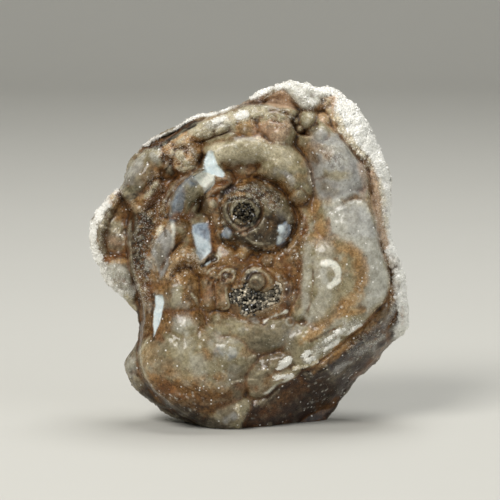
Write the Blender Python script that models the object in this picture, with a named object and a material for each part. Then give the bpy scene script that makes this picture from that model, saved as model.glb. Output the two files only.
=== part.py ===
"""A chalcedony rose: one natural piece of chalcedony, 58 mm tall, that stands on a small flat spot.

The stone is drawn in the frame of its own face, in millimetres: u runs to the right, v runs up the face
and w comes out of the face. The face leans back a little. FACE places that frame in the world, in metres,
+Z up, with the origin in the middle of the flat spot that the stone rests on.
"""

import math
import random
from dataclasses import dataclass

import bmesh
import bpy
import numpy as np
from mathutils import Matrix, Vector, noise

# Driving sizes in millimetres and degrees
LEAN_DEG = 8.0  # the face leans back from upright
FLAT_U = 0.45  # the flat spot's middle, across the face
FLAT_W = -5.7  # the flat spot's middle, through the stone
FLOOR_LIFT = 0.42  # the face frame's v = 0 lies this far above the resting surface
RIM_ROUNDING = 12.0  # power of the rim's rounding: higher is squarer
LEAST_RIM = 1.0  # the least thickness before and behind the rim line
FRONT_SHARE_DEG = 112.0  # how much of the starting sphere becomes the front
LEDGE_WIDTH = 1.1  # how far the step between the front mass and the plate behind it spreads
CREASE = 0.35  # how softly two swellings meet
TRIANGLES = 8200
GROUND_CUBE = 90.0  # side of the cube that cuts the flat spot
GAP = 0.3  # clearance under each crystal crust

MM = 0.001
MIDDLE = (0.8, 27.0)  # the point of the face that the outline is drawn around

FACE = Matrix.Translation(
    Vector((-FLAT_U, FLAT_W * math.cos(math.radians(LEAN_DEG)), -FLOOR_LIFT)) * MM
) @ Matrix.Rotation(math.radians(90.0 - LEAN_DEG), 4, "X")

# The silhouette of the face, clockwise from the top: u, v and the height w of the rim line
OUTLINE = (
    (6.8, 58.2, -2.0), (9.4, 57.6, -2.0), (11.0, 56.9, -2.0), (12.8, 57.3, -2.0), (14.5, 56.5, -2.2),
    (17.7, 54.1, -2.5), (19.8, 51.0, -2.8), (21.4, 47.4, -3.0), (23.0, 43.9, -3.0), (23.6, 41.4, -3.0),
    (23.3, 36.8, -3.0), (22.8, 34.4, -3.0), (23.4, 32.4, -3.2), (24.5, 29.3, -3.4), (25.3, 27.8, -3.6),
    (26.1, 23.4, -4.2), (26.5, 18.7, -5.2), (26.2, 16.5, -6.0), (23.6, 14.0, -7.4), (18.8, 8.9, -8.6),
    (16.1, 5.9, -8.6), (14.3, 3.2, -8.2), (12.9, 1.0, -7.4), (11.4, -1.2, -6.4), (8.0, -3.2, -5.4),
    (1.0, -3.8, -5.0), (-5.2, -2.8, -4.8), (-7.8, -0.3, -4.6), (-10.8, 1.1, -4.4), (-15.4, 3.5, -3.8),
    (-18.1, 5.5, -3.2), (-20.2, 8.2, -3.0), (-21.1, 10.8, -2.8), (-20.3, 12.7, -2.6), (-18.8, 14.4, -2.4),
    (-18.3, 17.6, -2.0), (-18.9, 20.0, -2.0), (-21.7, 22.6, -2.4), (-24.0, 24.8, -2.8), (-25.8, 28.4, -3.0),
    (-26.8, 32.4, -3.0), (-26.5, 35.0, -2.8), (-24.8, 37.3, -2.4), (-23.0, 39.5, -2.2), (-21.4, 40.8, -2.0),
    (-21.0, 43.0, -1.8), (-19.5, 45.8, -1.6), (-16.2, 48.7, -1.4), (-11.4, 50.9, -1.4), (-9.3, 52.2, -1.4),
    (-4.7, 53.1, -1.4), (-1.6, 54.2, -1.6), (0.6, 55.7, -1.8), (4.0, 57.7, -2.0),
)

# The edge of the front mass, which stands as a ledge over the plate behind it
FRONT_EDGE = (
    (-17.8, 46.6), (-15.0, 47.6), (-12.2, 49.3), (-9.3, 51.2), (-5.0, 52.7), (-1.0, 53.9), (3.0, 54.2),
    (6.6, 53.8), (8.2, 53.0), (10.6, 52.8), (12.0, 51.6), (13.4, 50.2), (15.0, 48.2), (16.6, 46.6),
    (17.8, 45.0), (19.1, 43.9), (19.7, 42.0), (19.8, 39.5), (20.3, 37.0), (21.0, 34.6), (21.1, 32.0),
    (21.6, 29.8), (22.6, 27.6), (23.1, 25.6), (23.0, 23.6), (22.3, 21.6), (20.8, 20.2), (19.6, 18.7),
    (17.4, 16.6), (15.0, 14.6), (12.6, 12.4), (10.6, 10.7), (8.6, 10.4), (7.2, 8.8), (4.6, 7.6),
    (2.6, 5.8), (0.4, 4.6), (-0.8, 2.6), (-1.6, 0.0), (-2.2, -5.0), (-7.0, -5.0), (-8.4, 0.8),
    (-10.8, 2.4), (-13.6, 4.4), (-16.0, 6.5), (-17.6, 8.8), (-18.3, 11.0), (-18.4, 13.4), (-18.2, 16.0),
    (-17.7, 18.6), (-18.0, 21.5), (-18.8, 24.2), (-19.8, 27.0), (-20.2, 30.0), (-20.3, 33.0),
    (-20.0, 35.6), (-20.8, 38.0), (-21.8, 40.4), (-21.6, 43.0), (-20.6, 45.0), (-19.2, 46.2),
)


@dataclass(frozen=True)
class Lobe:
    """A rounded swelling along a line of (u, v, top) points, and `drop` lower at `width` from it."""

    width: float
    drop: float
    line: tuple
    power: float = 2.0


@dataclass(frozen=True)
class Groove:
    """A crease along a line of (u, v, depth) points, which fades out at `width` from the line."""

    width: float
    line: tuple


@dataclass(frozen=True)
class Hollow:
    """An oval pit with a flat floor: middle, half sizes, turn in degrees and the height of its floor."""

    middle: tuple
    half: tuple
    turn: float
    floor: float


@dataclass(frozen=True)
class Ring:
    """A round ridge, or a round crease where its height is below zero."""

    middle: tuple
    radius: float
    width: float
    height: float


@dataclass(frozen=True)
class Crust:
    """A crust of quartz crystals on the flat floor of a hollow."""

    name: str
    hollow: Hollow
    half: tuple
    thickness: float
    crystals: int
    crystal_radius: float
    tone: tuple


# The plate behind the front mass: its frosted rim, the left wing, the dark side and the underside
PLATE = (
    Lobe(7.0, 2.0, ((-13.0, 46.0, 0.4), (5.0, 53.0, 0.6), (16.0, 48.0, 1.2), (20.5, 38.0, 0.6),
        (23.0, 27.0, 0.4))),
    Lobe(5.5, 1.6, ((-22.0, 33.0, -1.0), (-20.0, 26.0, -0.6), (-18.5, 19.0, -0.4))),
    Lobe(7.5, 9.0, ((-2.0, 1.5, 2.6), (2.4, 5.0, 2.8), (7.6, 9.3, 3.0), (12.0, 11.9, 3.0),
        (17.4, 15.8, 2.6), (21.8, 20.0, 1.8), (23.6, 23.6, 0.6)), 1.35),
    Lobe(5.0, 5.6, ((-18.2, 13.0, 0.6), (-17.4, 8.8, 0.8), (-13.6, 4.8, 1.4), (-8.8, 2.2, 2.2),
        (-4.0, 0.0, 2.6)), 1.3),
    Lobe(3.0, 1.9, ((12.6, 55.6, 2.4), (15.0, 54.6, 2.8), (17.4, 51.6, 3.6), (19.0, 48.2, 3.4),
        (20.9, 44.4, 2.6), (21.9, 40.4, 2.0))),
    Lobe(2.3, 1.5, ((21.9, 40.4, 1.8), (22.0, 36.6, 1.5), (22.3, 33.0, 1.5), (23.4, 29.4, 1.6),
        (24.6, 25.4, 1.4), (25.0, 21.0, 1.0), (24.9, 17.6, 0.2))),
    Lobe(1.5, 1.5, ((1.4, 55.4, 1.0), (3.8, 56.7, 1.8), (6.4, 57.1, 2.6), (12.6, 56.2, 2.6),
        (14.9, 55.0, 2.8))),
    Lobe(2.9, 2.6, ((8.9, 56.4, 4.4), (9.6, 54.9, 4.0))),
    Lobe(1.5, 1.7, ((-22.6, 39.0, 0.6), (-25.2, 35.8, 1.0), (-25.9, 32.4, 1.3), (-25.1, 29.0, 1.1),
        (-23.6, 26.4, 1.0), (-21.6, 24.0, 1.2), (-19.9, 22.2, 0.6))),
    Lobe(2.4, 1.4, ((-21.6, 26.4, 1.6),)),
    Lobe(1.7, 1.3, ((-19.7, 10.9, 0.4),)),
    Lobe(1.6, 1.3, ((-18.9, 7.9, 0.6),)),
    Lobe(0.9, 1.0, ((-19.0, 46.2, 0.4), (-16.4, 48.3, 0.8), (-13.4, 49.6, 1.0), (-10.3, 51.4, 1.2),
        (-7.2, 52.5, 1.4))),
)

# The front mass: overlapping petals, rolls and swellings
MASS = (
    Lobe(24.0, 3.6, ((0.5, 28.0, 5.2),)),
    Lobe(9.2, 4.2, ((-9.4, 10.6, 7.4),), 2.6),
    Lobe(3.4, 1.7, ((-10.8, 17.4, 6.7),)),
    Lobe(3.0, 1.4, ((-3.4, 13.0, 7.2),)),
    Lobe(3.6, 2.2, ((-11.2, 23.0, 6.9),)),
    Lobe(1.3, 1.1, ((-13.8, 25.2, 5.8), (-12.6, 27.8, 6.5), (-10.6, 29.0, 6.8), (-8.6, 28.2, 6.6),
        (-7.2, 26.2, 6.0))),
    Lobe(2.0, 1.6, ((-12.4, 33.6, 6.2), (-14.2, 30.8, 5.8), (-15.0, 27.6, 5.3), (-14.8, 25.2, 4.6))),
    Lobe(2.0, 1.3, ((-12.6, 36.6, 5.5), (-11.0, 39.4, 6.5), (-8.8, 41.2, 6.9), (-6.6, 43.2, 6.4)), 3.0),
    Lobe(2.9, 2.6, ((-19.2, 39.8, 4.4), (-18.1, 42.4, 5.6), (-16.3, 45.0, 5.2))),
    Lobe(1.5, 1.0, ((-15.5, 45.4, 5.9),)),
    Lobe(1.1, 0.9, ((-18.4, 37.2, 4.4),)),
    Lobe(1.0, 0.8, ((-16.6, 35.9, 4.2),)),
    Lobe(0.8, 0.7, ((-17.6, 38.2, 4.6), (-15.6, 40.6, 5.0))),
    Lobe(1.4, 1.0, ((-13.2, 46.2, 5.4),)),
    Lobe(1.2, 0.9, ((-13.3, 43.8, 5.2),)),
    Lobe(2.3, 1.3, ((-10.6, 45.2, 5.8),)),
    Lobe(1.4, 0.9, ((-11.4, 47.9, 5.4),)),
    Lobe(1.9, 1.7, ((-12.0, 48.6, 4.2), (-9.0, 49.9, 5.0), (-5.0, 51.2, 5.7), (-1.0, 52.2, 6.1),
        (2.8, 52.8, 5.9), (6.0, 52.4, 5.3))),
    Lobe(2.6, 1.5, ((3.8, 50.6, 6.7),)),
    Lobe(2.1, 1.2, ((-0.4, 50.0, 6.3),)),
    Lobe(1.5, 0.8, ((4.6, 49.0, 7.0),)),
    Lobe(2.1, 1.6, ((-5.2, 45.8, 6.4), (-2.0, 46.9, 7.1), (1.5, 46.9, 7.1), (4.8, 45.5, 7.0),
        (7.6, 43.0, 6.9), (8.9, 40.2, 6.5))),
    Lobe(2.1, 1.1, ((4.6, 43.6, 7.3),)),
    Lobe(1.7, 1.1, ((6.7, 41.2, 7.0),)),
    Lobe(1.0, 0.9, ((7.9, 38.9, 7.0),)),
    Lobe(3.7, 1.9, ((12.2, 48.0, 6.3), (14.2, 45.3, 7.3), (15.4, 42.6, 7.4), (15.2, 40.4, 6.8))),
    Lobe(5.4, 2.6, ((16.2, 36.4, 7.2), (17.4, 32.0, 7.6), (18.0, 27.0, 7.4), (17.4, 23.0, 6.6)), 2.3),
    Lobe(3.3, 1.5, ((12.6, 28.6, 6.7), (12.8, 24.0, 6.9), (12.2, 19.6, 6.5))),
    Lobe(3.0, 1.8, ((7.6, 14.6, 6.2), (12.0, 16.4, 6.2), (16.4, 19.6, 6.3))),
    Lobe(2.4, 1.3, ((-4.6, 17.4, 6.2), (0.0, 16.2, 6.5), (4.6, 16.6, 6.3))),
    Lobe(1.4, 1.2, ((9.6, 31.4, 6.3), (9.9, 27.0, 6.5), (9.5, 23.0, 6.3), (8.0, 20.0, 6.0))),
    Lobe(2.9, 2.2, ((-12.4, 5.2, 4.6), (-6.4, 3.2, 4.6), (-2.2, 3.2, 4.6))),
    Lobe(2.8, 1.9, ((1.6, 9.4, 5.6), (5.2, 11.8, 6.0), (9.0, 12.9, 5.4))),
    Lobe(1.6, 1.0, ((10.2, 12.4, 4.8), (14.2, 15.6, 5.0), (18.2, 18.7, 5.2), (21.4, 21.8, 5.4))),
    Lobe(2.2, 1.6, ((-18.4, 33.0, 3.4), (-17.2, 27.4, 3.4), (-17.2, 22.0, 3.4), (-17.6, 17.4, 3.0))),
)

# Shallow basins that the two eyes sit in, as grooves wide enough to be dishes
BASINS = (
    Groove(9.2, ((0.9, 35.4, 2.4),)),
    Groove(6.4, ((-3.0, 24.0, 1.2), (1.0, 24.0, 1.9), (4.0, 24.0, 1.6))),
    Groove(3.6, ((-5.2, 38.2, 1.0), (-7.6, 35.0, 1.2), (-6.0, 30.5, 1.0))),
)

# What stands in the basins: the two eyes, the beads round them and the curled lips beside the lower one
EYES = (
    Lobe(5.7, 2.4, ((1.3, 35.2, 7.2),), 3.4),
    Lobe(3.3, 1.0, ((-1.2, 36.4, 8.0),), 2.6),
    Lobe(1.4, 1.2, ((-3.8, 32.6, 6.6),)),
    Lobe(0.9, 0.8, ((-1.2, 32.8, 6.8),)),
    Lobe(1.2, 1.0, ((-1.3, 29.5, 5.6),)),
    Lobe(1.0, 0.9, ((3.4, 28.8, 5.6),)),
    Lobe(1.3, 1.0, ((-5.8, 37.6, 6.0),)),
    Lobe(3.2, 1.2, ((1.2, 24.4, 6.0),), 2.6),
    Lobe(1.7, 0.8, ((1.0, 25.2, 6.6),), 2.6),
    Lobe(0.7, 0.9, ((-2.8, 24.6, 5.8), (-3.1, 26.3, 6.2), (-4.5, 26.8, 6.3), (-5.4, 25.4, 6.2),
        (-5.6, 23.0, 6.1), (-5.0, 21.0, 6.0), (-3.2, 20.3, 5.8))),
    Lobe(0.7, 0.9, ((-6.4, 27.6, 6.2), (-7.4, 25.6, 6.2), (-7.8, 23.0, 6.2), (-6.8, 20.6, 6.1))),
)

HOLLOWS = (
    Hollow((9.0, 51.0), (2.1, 1.9), 0.0, 1.6),
    Hollow((-1.1, 36.2), (1.6, 1.5), 0.0, 5.7),
    Hollow((0.9, 22.4), (4.0, 2.3), 10.0, 4.0),
    Hollow((-8.0, 31.4), (1.7, 3.3), 8.0, 4.5),
    Hollow((-15.1, 19.6), (0.75, 3.4), -8.0, 3.6),
    Hollow((-6.6, 43.4), (1.0, 3.0), 26.0, 5.0),
)

# Beads that fill the small cavity at the upper right
BEADS = (
    Lobe(1.5, 1.7, ((9.6, 51.3, 4.6),)),
    Lobe(0.9, 1.0, ((8.3, 50.1, 3.8),)),
    Lobe(0.7, 0.8, ((7.7, 51.4, 3.8),)),
    Lobe(0.9, 0.9, ((12.0, 51.1, 5.6),)),
    Lobe(1.4, 1.2, ((11.7, 49.3, 6.9),)),
)

GROOVES = (
    Groove(1.1, ((-18.0, 47.0, 2.0), (-15.2, 48.2, 3.4), (-12.2, 49.8, 3.2), (-9.4, 51.5, 1.6))),
    Groove(0.8, ((16.8, 46.4, 1.0), (18.2, 44.8, 1.6), (19.7, 43.2, 2.4), (20.0, 39.6, 2.4),
        (20.6, 36.6, 1.0))),
    Groove(0.8, ((-13.8, 35.4, 1.2), (-13.2, 38.6, 1.8), (-11.6, 41.6, 1.8), (-8.6, 43.6, 1.8),
        (-8.0, 45.6, 1.4))),
    Groove(0.8, ((-4.2, 41.2, 1.0), (-5.8, 40.8, 1.6), (-7.6, 38.6, 1.8), (-8.4, 36.4, 1.2))),
    Groove(0.9, ((-20.4, 38.4, 2.0), (-19.6, 36.0, 2.2), (-19.4, 33.4, 1.0))),
    Groove(0.7, ((10.0, 43.8, 0.6), (10.5, 41.0, 0.9), (11.6, 38.4, 0.9), (13.6, 35.2, 0.6))),
    Groove(0.7, ((11.0, 37.6, 0.5), (14.6, 37.9, 1.0), (18.6, 38.9, 0.7))),
    Groove(0.8, ((-14.6, 8.2, 0.4), (-8.0, 5.4, 0.7), (-1.0, 6.6, 0.8), (4.0, 10.0, 1.0),
        (7.0, 10.8, 0.8))),
)

RINGS = (
    Ring((-1.2, 36.3), 3.3, 0.35, -0.9),
    Ring((-1.2, 36.3), 2.2, 0.3, -0.5),
    Ring((1.2, 35.3), 6.3, 0.6, -0.8),
    Ring((1.0, 25.2), 1.5, 0.3, -0.4),
    Ring((1.2, 24.8), 2.8, 0.4, -0.6),
    Ring((13.2, 26.2), 1.7, 0.4, -0.5),
)

# The frosted rims: lines along which the stone is lumpy with fine crystals
FROST = (
    Groove(3.6, ((11.6, 56.4, 1.0), (15.2, 55.2, 1.0), (18.2, 51.6, 1.0), (20.4, 47.4, 1.0),
        (22.0, 43.0, 1.0), (22.4, 37.0, 1.0), (23.0, 33.0, 1.0), (24.2, 28.4, 1.0), (25.2, 23.0, 1.0),
        (25.2, 18.0, 0.6))),
    Groove(2.4, ((1.6, 55.6, 0.8), (5.4, 57.2, 1.0), (9.0, 56.4, 1.0), (9.6, 54.6, 1.0))),
    Groove(2.6, ((-22.4, 39.6, 0.8), (-25.4, 36.0, 1.0), (-26.2, 32.4, 1.0), (-25.4, 29.0, 1.0),
        (-23.6, 26.0, 1.0), (-20.6, 23.2, 0.8))),
)
FROST_CELL, FROST_HEIGHT = 2.3, 0.8

# The back: a shallow shell of broad swellings
BACK = (
    Lobe(26.0, 4.6, ((1.0, 24.0, 11.4),), 2.4),
    Lobe(9.0, 3.0, ((-11.0, 36.0, 10.4),)),
    Lobe(8.0, 3.0, ((11.0, 42.0, 10.6),)),
    Lobe(9.0, 3.0, ((13.0, 22.0, 11.6),)),
    Lobe(9.0, 3.0, ((-6.0, 14.0, 12.0),)),
    Lobe(6.0, 2.4, ((4.0, 4.0, 12.2),)),
)
PUCKER_CELL, PUCKER_HEIGHT = 5.2, 1.0
WAVER_CELL, WAVER_HEIGHT = 7.0, 0.35  # broad unevenness all over

# The crystal crusts of the two eyes
CRUSTS = (
    Crust("upper_eye_druse", HOLLOWS[1], (1.1, 1.0), 0.8, 9, 0.34, (0.12, 0.09, 0.07)),
    Crust("lower_eye_druse", HOLLOWS[2], (3.2, 1.5), 0.9, 26, 0.46, (0.07, 0.055, 0.045)),
)
CRUST_SIDES = 28
CRYSTAL_LEAN_DEG = 24.0


def nearest(line, u, v):
    """Distance of every (u, v) to a line of points, and the line's third value at its nearest place."""
    if len(line) == 1:
        u0, v0, value = line[0]
        return np.hypot(u - u0, v - v0), np.full_like(u, value)
    best, held = np.full_like(u, np.inf), np.zeros_like(u)
    for (u0, v0, a), (u1, v1, b) in zip(line, line[1:]):
        du, dv = u1 - u0, v1 - v0
        t = np.clip(((u - u0) * du + (v - v0) * dv) / (du * du + dv * dv), 0.0, 1.0)
        distance = np.hypot(u - u0 - t * du, v - v0 - t * dv)
        closer = distance < best
        best = np.where(closer, distance, best)
        held = np.where(closer, a + t * (b - a), held)
    return best, held


def join(a, b, softness=CREASE):
    """The higher of two surfaces, rounded where they cross."""
    near = np.clip(1.0 - np.abs(a - b) / softness, 0.0, 1.0)
    return np.maximum(a, b) + near * near * softness / 4.0


def step(x):
    """A smooth step from 0 at x = 0 to 1 at x = 1."""
    x = np.clip(x, 0.0, 1.0)
    return x * x * (3.0 - 2.0 * x)


def swell(surface, lobes, u, v):
    """Adds swellings to a surface by taking the higher of the two."""
    for lobe in lobes:
        distance, top = nearest(lobe.line, u, v)
        surface = join(surface, top - lobe.drop * (distance / lobe.width) ** lobe.power)
    return surface


def carve(surface, grooves, u, v):
    """Cuts grooves into a surface."""
    for groove in grooves:
        distance, depth = nearest(groove.line, u, v)
        surface = surface - depth * step(1.0 - distance / groove.width)
    return surface


def sink(surface, hollows, u, v):
    """Sinks flat-floored pits into a surface."""
    for pit in hollows:
        turn = math.radians(pit.turn)
        du, dv = u - pit.middle[0], v - pit.middle[1]
        across = (du * math.cos(turn) + dv * math.sin(turn)) / pit.half[0]
        along = (dv * math.cos(turn) - du * math.sin(turn)) / pit.half[1]
        inside = step((1.15 - np.hypot(across, along)) / 0.3)
        surface = surface + (np.minimum(surface, pit.floor) - surface) * inside
    return surface


def ring_relief(u, v):
    """The round ridges and creases of the eyes."""
    relief = np.zeros_like(u)
    for ring in RINGS:
        distance = np.hypot(u - ring.middle[0], v - ring.middle[1]) - ring.radius
        relief = relief + ring.height * np.exp(-((distance / ring.width) ** 2))
    return relief


def inside_front_edge(u, v):
    """Distance inside the edge of the front mass, below zero outside it."""
    closed = tuple((a, b, 0.0) for a, b in FRONT_EDGE + FRONT_EDGE[:1])
    distance, _ = nearest(closed, u, v)
    inside = np.zeros(u.shape, bool)
    for (u0, v0, _), (u1, v1, _) in zip(closed, closed[1:]):
        if v0 != v1:
            inside ^= ((v0 > v) != (v1 > v)) & (u < (u1 - u0) * (v - v0) / (v1 - v0) + u0)
    return np.where(inside, distance, -distance)


def lumps(u, v, cell):
    """Rounded lumps from 0 to 1 high, one in each cell of a random pattern."""
    cells = [noise.voronoi(Vector((a, b, cell)) / cell)[0][0] for a, b in zip(u, v)]
    return 1.0 - np.minimum(np.array(cells), 1.0) ** 2


def frost_share(u, v):
    """How frosted every (u, v) is, from 0 to 1."""
    return -carve(np.zeros_like(u), FROST, u, v).clip(-1.0, 0.0)


def front_height(u, v):
    """Height w of the front at every (u, v)."""
    below = np.full_like(u, -30.0)
    plate = swell(below, PLATE, u, v)
    mass = swell(below, MASS, u, v)
    mass = carve(mass, BASINS, u, v)
    mass = swell(mass, EYES, u, v) + ring_relief(u, v)
    share = step(inside_front_edge(u, v) / LEDGE_WIDTH + 0.5)
    surface = plate + (np.maximum(mass, plate) - plate) * share
    surface = sink(surface, HOLLOWS, u, v)
    surface = swell(surface, BEADS, u, v)
    surface = surface + FROST_HEIGHT * frost_share(u, v) * lumps(u, v, FROST_CELL)
    return carve(surface, GROOVES, u, v)


def back_height(u, v):
    """Height w of the back at every (u, v), with its botryoidal bumps."""
    depth = swell(np.full_like(u, -30.0), BACK, u, v)
    return -np.maximum(depth, 6.0) - PUCKER_HEIGHT * lumps(u, v, PUCKER_CELL)


def outline_at(angle):
    """Distance from MIDDLE to the silhouette, and the rim's height, at every angle round the face."""
    points = np.array(OUTLINE)
    du, dv = points[:, 0] - MIDDLE[0], points[:, 1] - MIDDLE[1]
    turns = np.arctan2(dv, du)
    order = np.argsort(turns)
    lengths = np.hypot(du, dv)[order]
    spread = np.radians((-2.0, 0.0, 2.0))
    lookups = [np.interp(angle + turn, turns[order], lengths, period=2.0 * math.pi) for turn in spread]
    radius = sum(lookups) / len(lookups)
    rim = np.interp(angle, turns[order], points[order, 2], period=2.0 * math.pi)
    return radius, rim


def shape_points(directions):
    """Moves the points of a unit sphere to the surface of the stone, in the face frame."""
    angle = np.arctan2(directions[:, 1], directions[:, 0])
    fall = np.degrees(np.arccos(np.clip(directions[:, 2], -1.0, 1.0)))
    front = fall < FRONT_SHARE_DEG
    edge = 1.0 - math.cos(math.radians(FRONT_SHARE_DEG))
    share = np.where(front, (1.0 - directions[:, 2]) / edge, (1.0 + directions[:, 2]) / (2.0 - edge))
    out = np.sqrt(np.clip(share, 0.0, 1.0))

    radius, rim = outline_at(angle)
    mean = float(radius.mean())
    reach = out * (mean + (radius - mean) * out**2)
    u = MIDDLE[0] + reach * np.cos(angle)
    v = MIDDLE[1] + reach * np.sin(angle)

    before = join(front_height(u, v), rim + LEAST_RIM)
    behind = -join(-back_height(u, v), LEAST_RIM - rim)
    surface = np.where(front, before, behind)
    rounding = np.sqrt(np.clip(1.0 - out**RIM_ROUNDING, 0.0, 1.0))
    w = rim + (surface - rim) * rounding
    waver = [noise.noise(Vector(p) / WAVER_CELL) for p in zip(u, v, w)]
    return np.stack([u, v, w + WAVER_HEIGHT * np.array(waver)], axis=1)


def finish(name, tone, roughness):
    """A plain stone finish for one piece."""
    material = bpy.data.materials.new(name)
    material.use_nodes = True
    surface = material.node_tree.nodes["Principled BSDF"]
    surface.inputs["Base Color"].default_value = (*tone, 1.0)
    surface.inputs["Roughness"].default_value = roughness
    surface.inputs["Metallic"].default_value = 0.0
    return material


def add_object(name, shape, collection, place, material=None):
    """Makes an object of a bmesh drawn in millimetres, and puts it in its place in the world."""
    mesh = bpy.data.meshes.new(name)
    shape.to_mesh(mesh)
    shape.free()
    mesh.transform(Matrix.Scale(MM, 4))
    if material:
        mesh.materials.append(material)
    made = bpy.data.objects.new(name, mesh)
    made.matrix_world = place
    collection.objects.link(made)
    return made


def hide_helper(helper):
    """Marks an object as a cutter or a guide."""
    helper.hide_render = True
    helper.display_type = "WIRE"
    return helper


def join_in(target, helper, operation, self_crossing=False):
    """Joins a helper to a piece, or cuts the piece with it."""
    boolean = target.modifiers.new(helper.name, "BOOLEAN")
    boolean.object = helper
    boolean.operation = operation
    boolean.solver = "EXACT"
    boolean.use_self = self_crossing
    return boolean


def make_rose(parts, helpers):
    """The stone itself: a sphere pushed out to the rose's surface, thinned, and cut flat where it rests."""
    shape = bmesh.new()
    bmesh.ops.create_icosphere(shape, subdivisions=7, radius=1.0)
    directions = np.array([corner.co.normalized() for corner in shape.verts])
    for corner, place in zip(shape.verts, shape_points(directions)):
        corner.co = place
    drawn = len(shape.faces)
    rose = add_object("chalcedony_rose", shape, parts, FACE, finish("chalcedony", (0.36, 0.29, 0.22), 0.35))
    rose.data.shade_smooth()

    thin = rose.modifiers.new("thin", "DECIMATE")
    thin.ratio = TRIANGLES / drawn

    ground = bmesh.new()
    bmesh.ops.create_cube(ground, size=GROUND_CUBE)
    below = Matrix.Translation((0.0, 0.0, -GROUND_CUBE * MM / 2.0))
    resting = hide_helper(add_object("resting_surface", ground, helpers, below))
    join_in(rose, resting, "DIFFERENCE")
    return rose


def on_hollow_floor(crust):
    """The place of a crust in the world: in the middle of its hollow's floor, just clear of it."""
    u, v = crust.hollow.middle
    lift = Matrix.Translation(Vector((u, v, crust.hollow.floor + GAP)) * MM)
    return FACE @ lift @ Matrix.Rotation(math.radians(crust.hollow.turn), 4, "Z")


def add_crystal(shape, foot, radius, height, lean, turn):
    """A six-sided quartz prism with a pointed end, its lower part sunk below its foot."""
    made = bmesh.ops.create_cone(
        shape, cap_ends=True, segments=6, radius1=radius, radius2=radius * 0.9, depth=height
    )["verts"]
    faces = {face for corner in made for face in corner.link_faces}
    top = max(faces, key=lambda face: face.calc_center_median().z)
    tip = bmesh.ops.poke(shape, faces=[top])["verts"][0]
    tip.co.z += radius * 1.1
    lift = Matrix.Translation((0.0, 0.0, height / 4.0))
    placed = Matrix.Translation(foot) @ lean @ Matrix.Rotation(turn, 4, "Z") @ lift
    bmesh.ops.transform(shape, matrix=placed, verts=[*made, tip])


def make_crust(crust, parts, helpers):
    """A low oval slab on the hollow's floor, with its crystals joined to it."""
    slab = bmesh.new()
    bmesh.ops.create_cone(
        slab, cap_ends=True, segments=CRUST_SIDES, radius1=1.0, radius2=0.86, depth=crust.thickness
    )
    for corner in slab.verts:
        corner.co.x *= crust.half[0]
        corner.co.y *= crust.half[1]
        corner.co.z += crust.thickness / 2.0
    place = on_hollow_floor(crust)
    made = add_object(crust.name, slab, parts, place, finish(crust.name, crust.tone, 0.3))

    draw = random.Random(crust.crystals)
    crystals = bmesh.new()
    golden = math.pi * (3.0 - math.sqrt(5.0))
    for i in range(crust.crystals):
        reach = 0.86 * math.sqrt((i + 0.5) / crust.crystals)
        angle = i * golden
        foot = Vector((
            crust.half[0] * reach * math.cos(angle),
            crust.half[1] * reach * math.sin(angle),
            crust.thickness * 0.7,
        ))
        radius = crust.crystal_radius * draw.uniform(0.75, 1.2)
        away = Matrix.Rotation(angle, 4, "Z") @ Matrix.Rotation(
            math.radians(CRYSTAL_LEAN_DEG) * draw.uniform(-0.5, 1.0) * reach, 4, "Y"
        )
        add_crystal(crystals, foot, radius, radius * draw.uniform(1.6, 2.4), away, draw.uniform(0.0, 1.0))
    points = hide_helper(add_object(crust.name + "_points", crystals, helpers, place))
    join_in(made, points, "UNION", self_crossing=True)
    return made


def main():
    """Clears the scene and builds the stone and its two crystal crusts."""
    for old in list(bpy.data.objects):
        bpy.data.objects.remove(old)
    parts = bpy.data.collections.new("chalcedony_rose")
    helpers = bpy.data.collections.new("cutters")
    for collection in (parts, helpers):
        bpy.context.scene.collection.children.link(collection)
    make_rose(parts, helpers)
    for crust in CRUSTS:
        make_crust(crust, parts, helpers)


main()
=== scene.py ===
"""The dressed chalcedony rose: its stone, the fine quartz of its rims, and the crystals of its two eyes.

Everything is drawn in millimetres in the frame of the stone's own face: u runs to the right, v runs up the
face and w comes out of the face. FaceFrame places that in the world, in metres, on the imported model.
"""

import logging
import math
from dataclasses import dataclass
from enum import Enum

import bmesh
import bpy
import numpy as np
from mathutils import Matrix, Vector


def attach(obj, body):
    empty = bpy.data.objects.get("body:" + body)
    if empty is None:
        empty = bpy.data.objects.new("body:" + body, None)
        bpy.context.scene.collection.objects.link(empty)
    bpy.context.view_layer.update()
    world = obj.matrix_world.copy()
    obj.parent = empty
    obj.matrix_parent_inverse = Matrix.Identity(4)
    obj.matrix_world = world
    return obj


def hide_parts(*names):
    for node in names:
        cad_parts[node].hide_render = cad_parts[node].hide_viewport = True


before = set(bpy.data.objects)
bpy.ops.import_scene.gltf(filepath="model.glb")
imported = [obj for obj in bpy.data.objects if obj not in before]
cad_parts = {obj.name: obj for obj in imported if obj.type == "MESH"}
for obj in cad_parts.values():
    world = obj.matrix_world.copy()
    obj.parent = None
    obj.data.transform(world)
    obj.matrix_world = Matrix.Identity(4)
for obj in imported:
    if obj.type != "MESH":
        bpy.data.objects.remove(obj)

log = logging.getLogger("chalcedony_rose")

MM = 0.001
FAR_BELOW = -30.0
Array = np.ndarray
Pair = tuple[float, float]
Triple = tuple[float, float, float]
Line = tuple[Triple, ...]
Corners = tuple[Pair, ...]
Colour = tuple[int, int, int]


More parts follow.
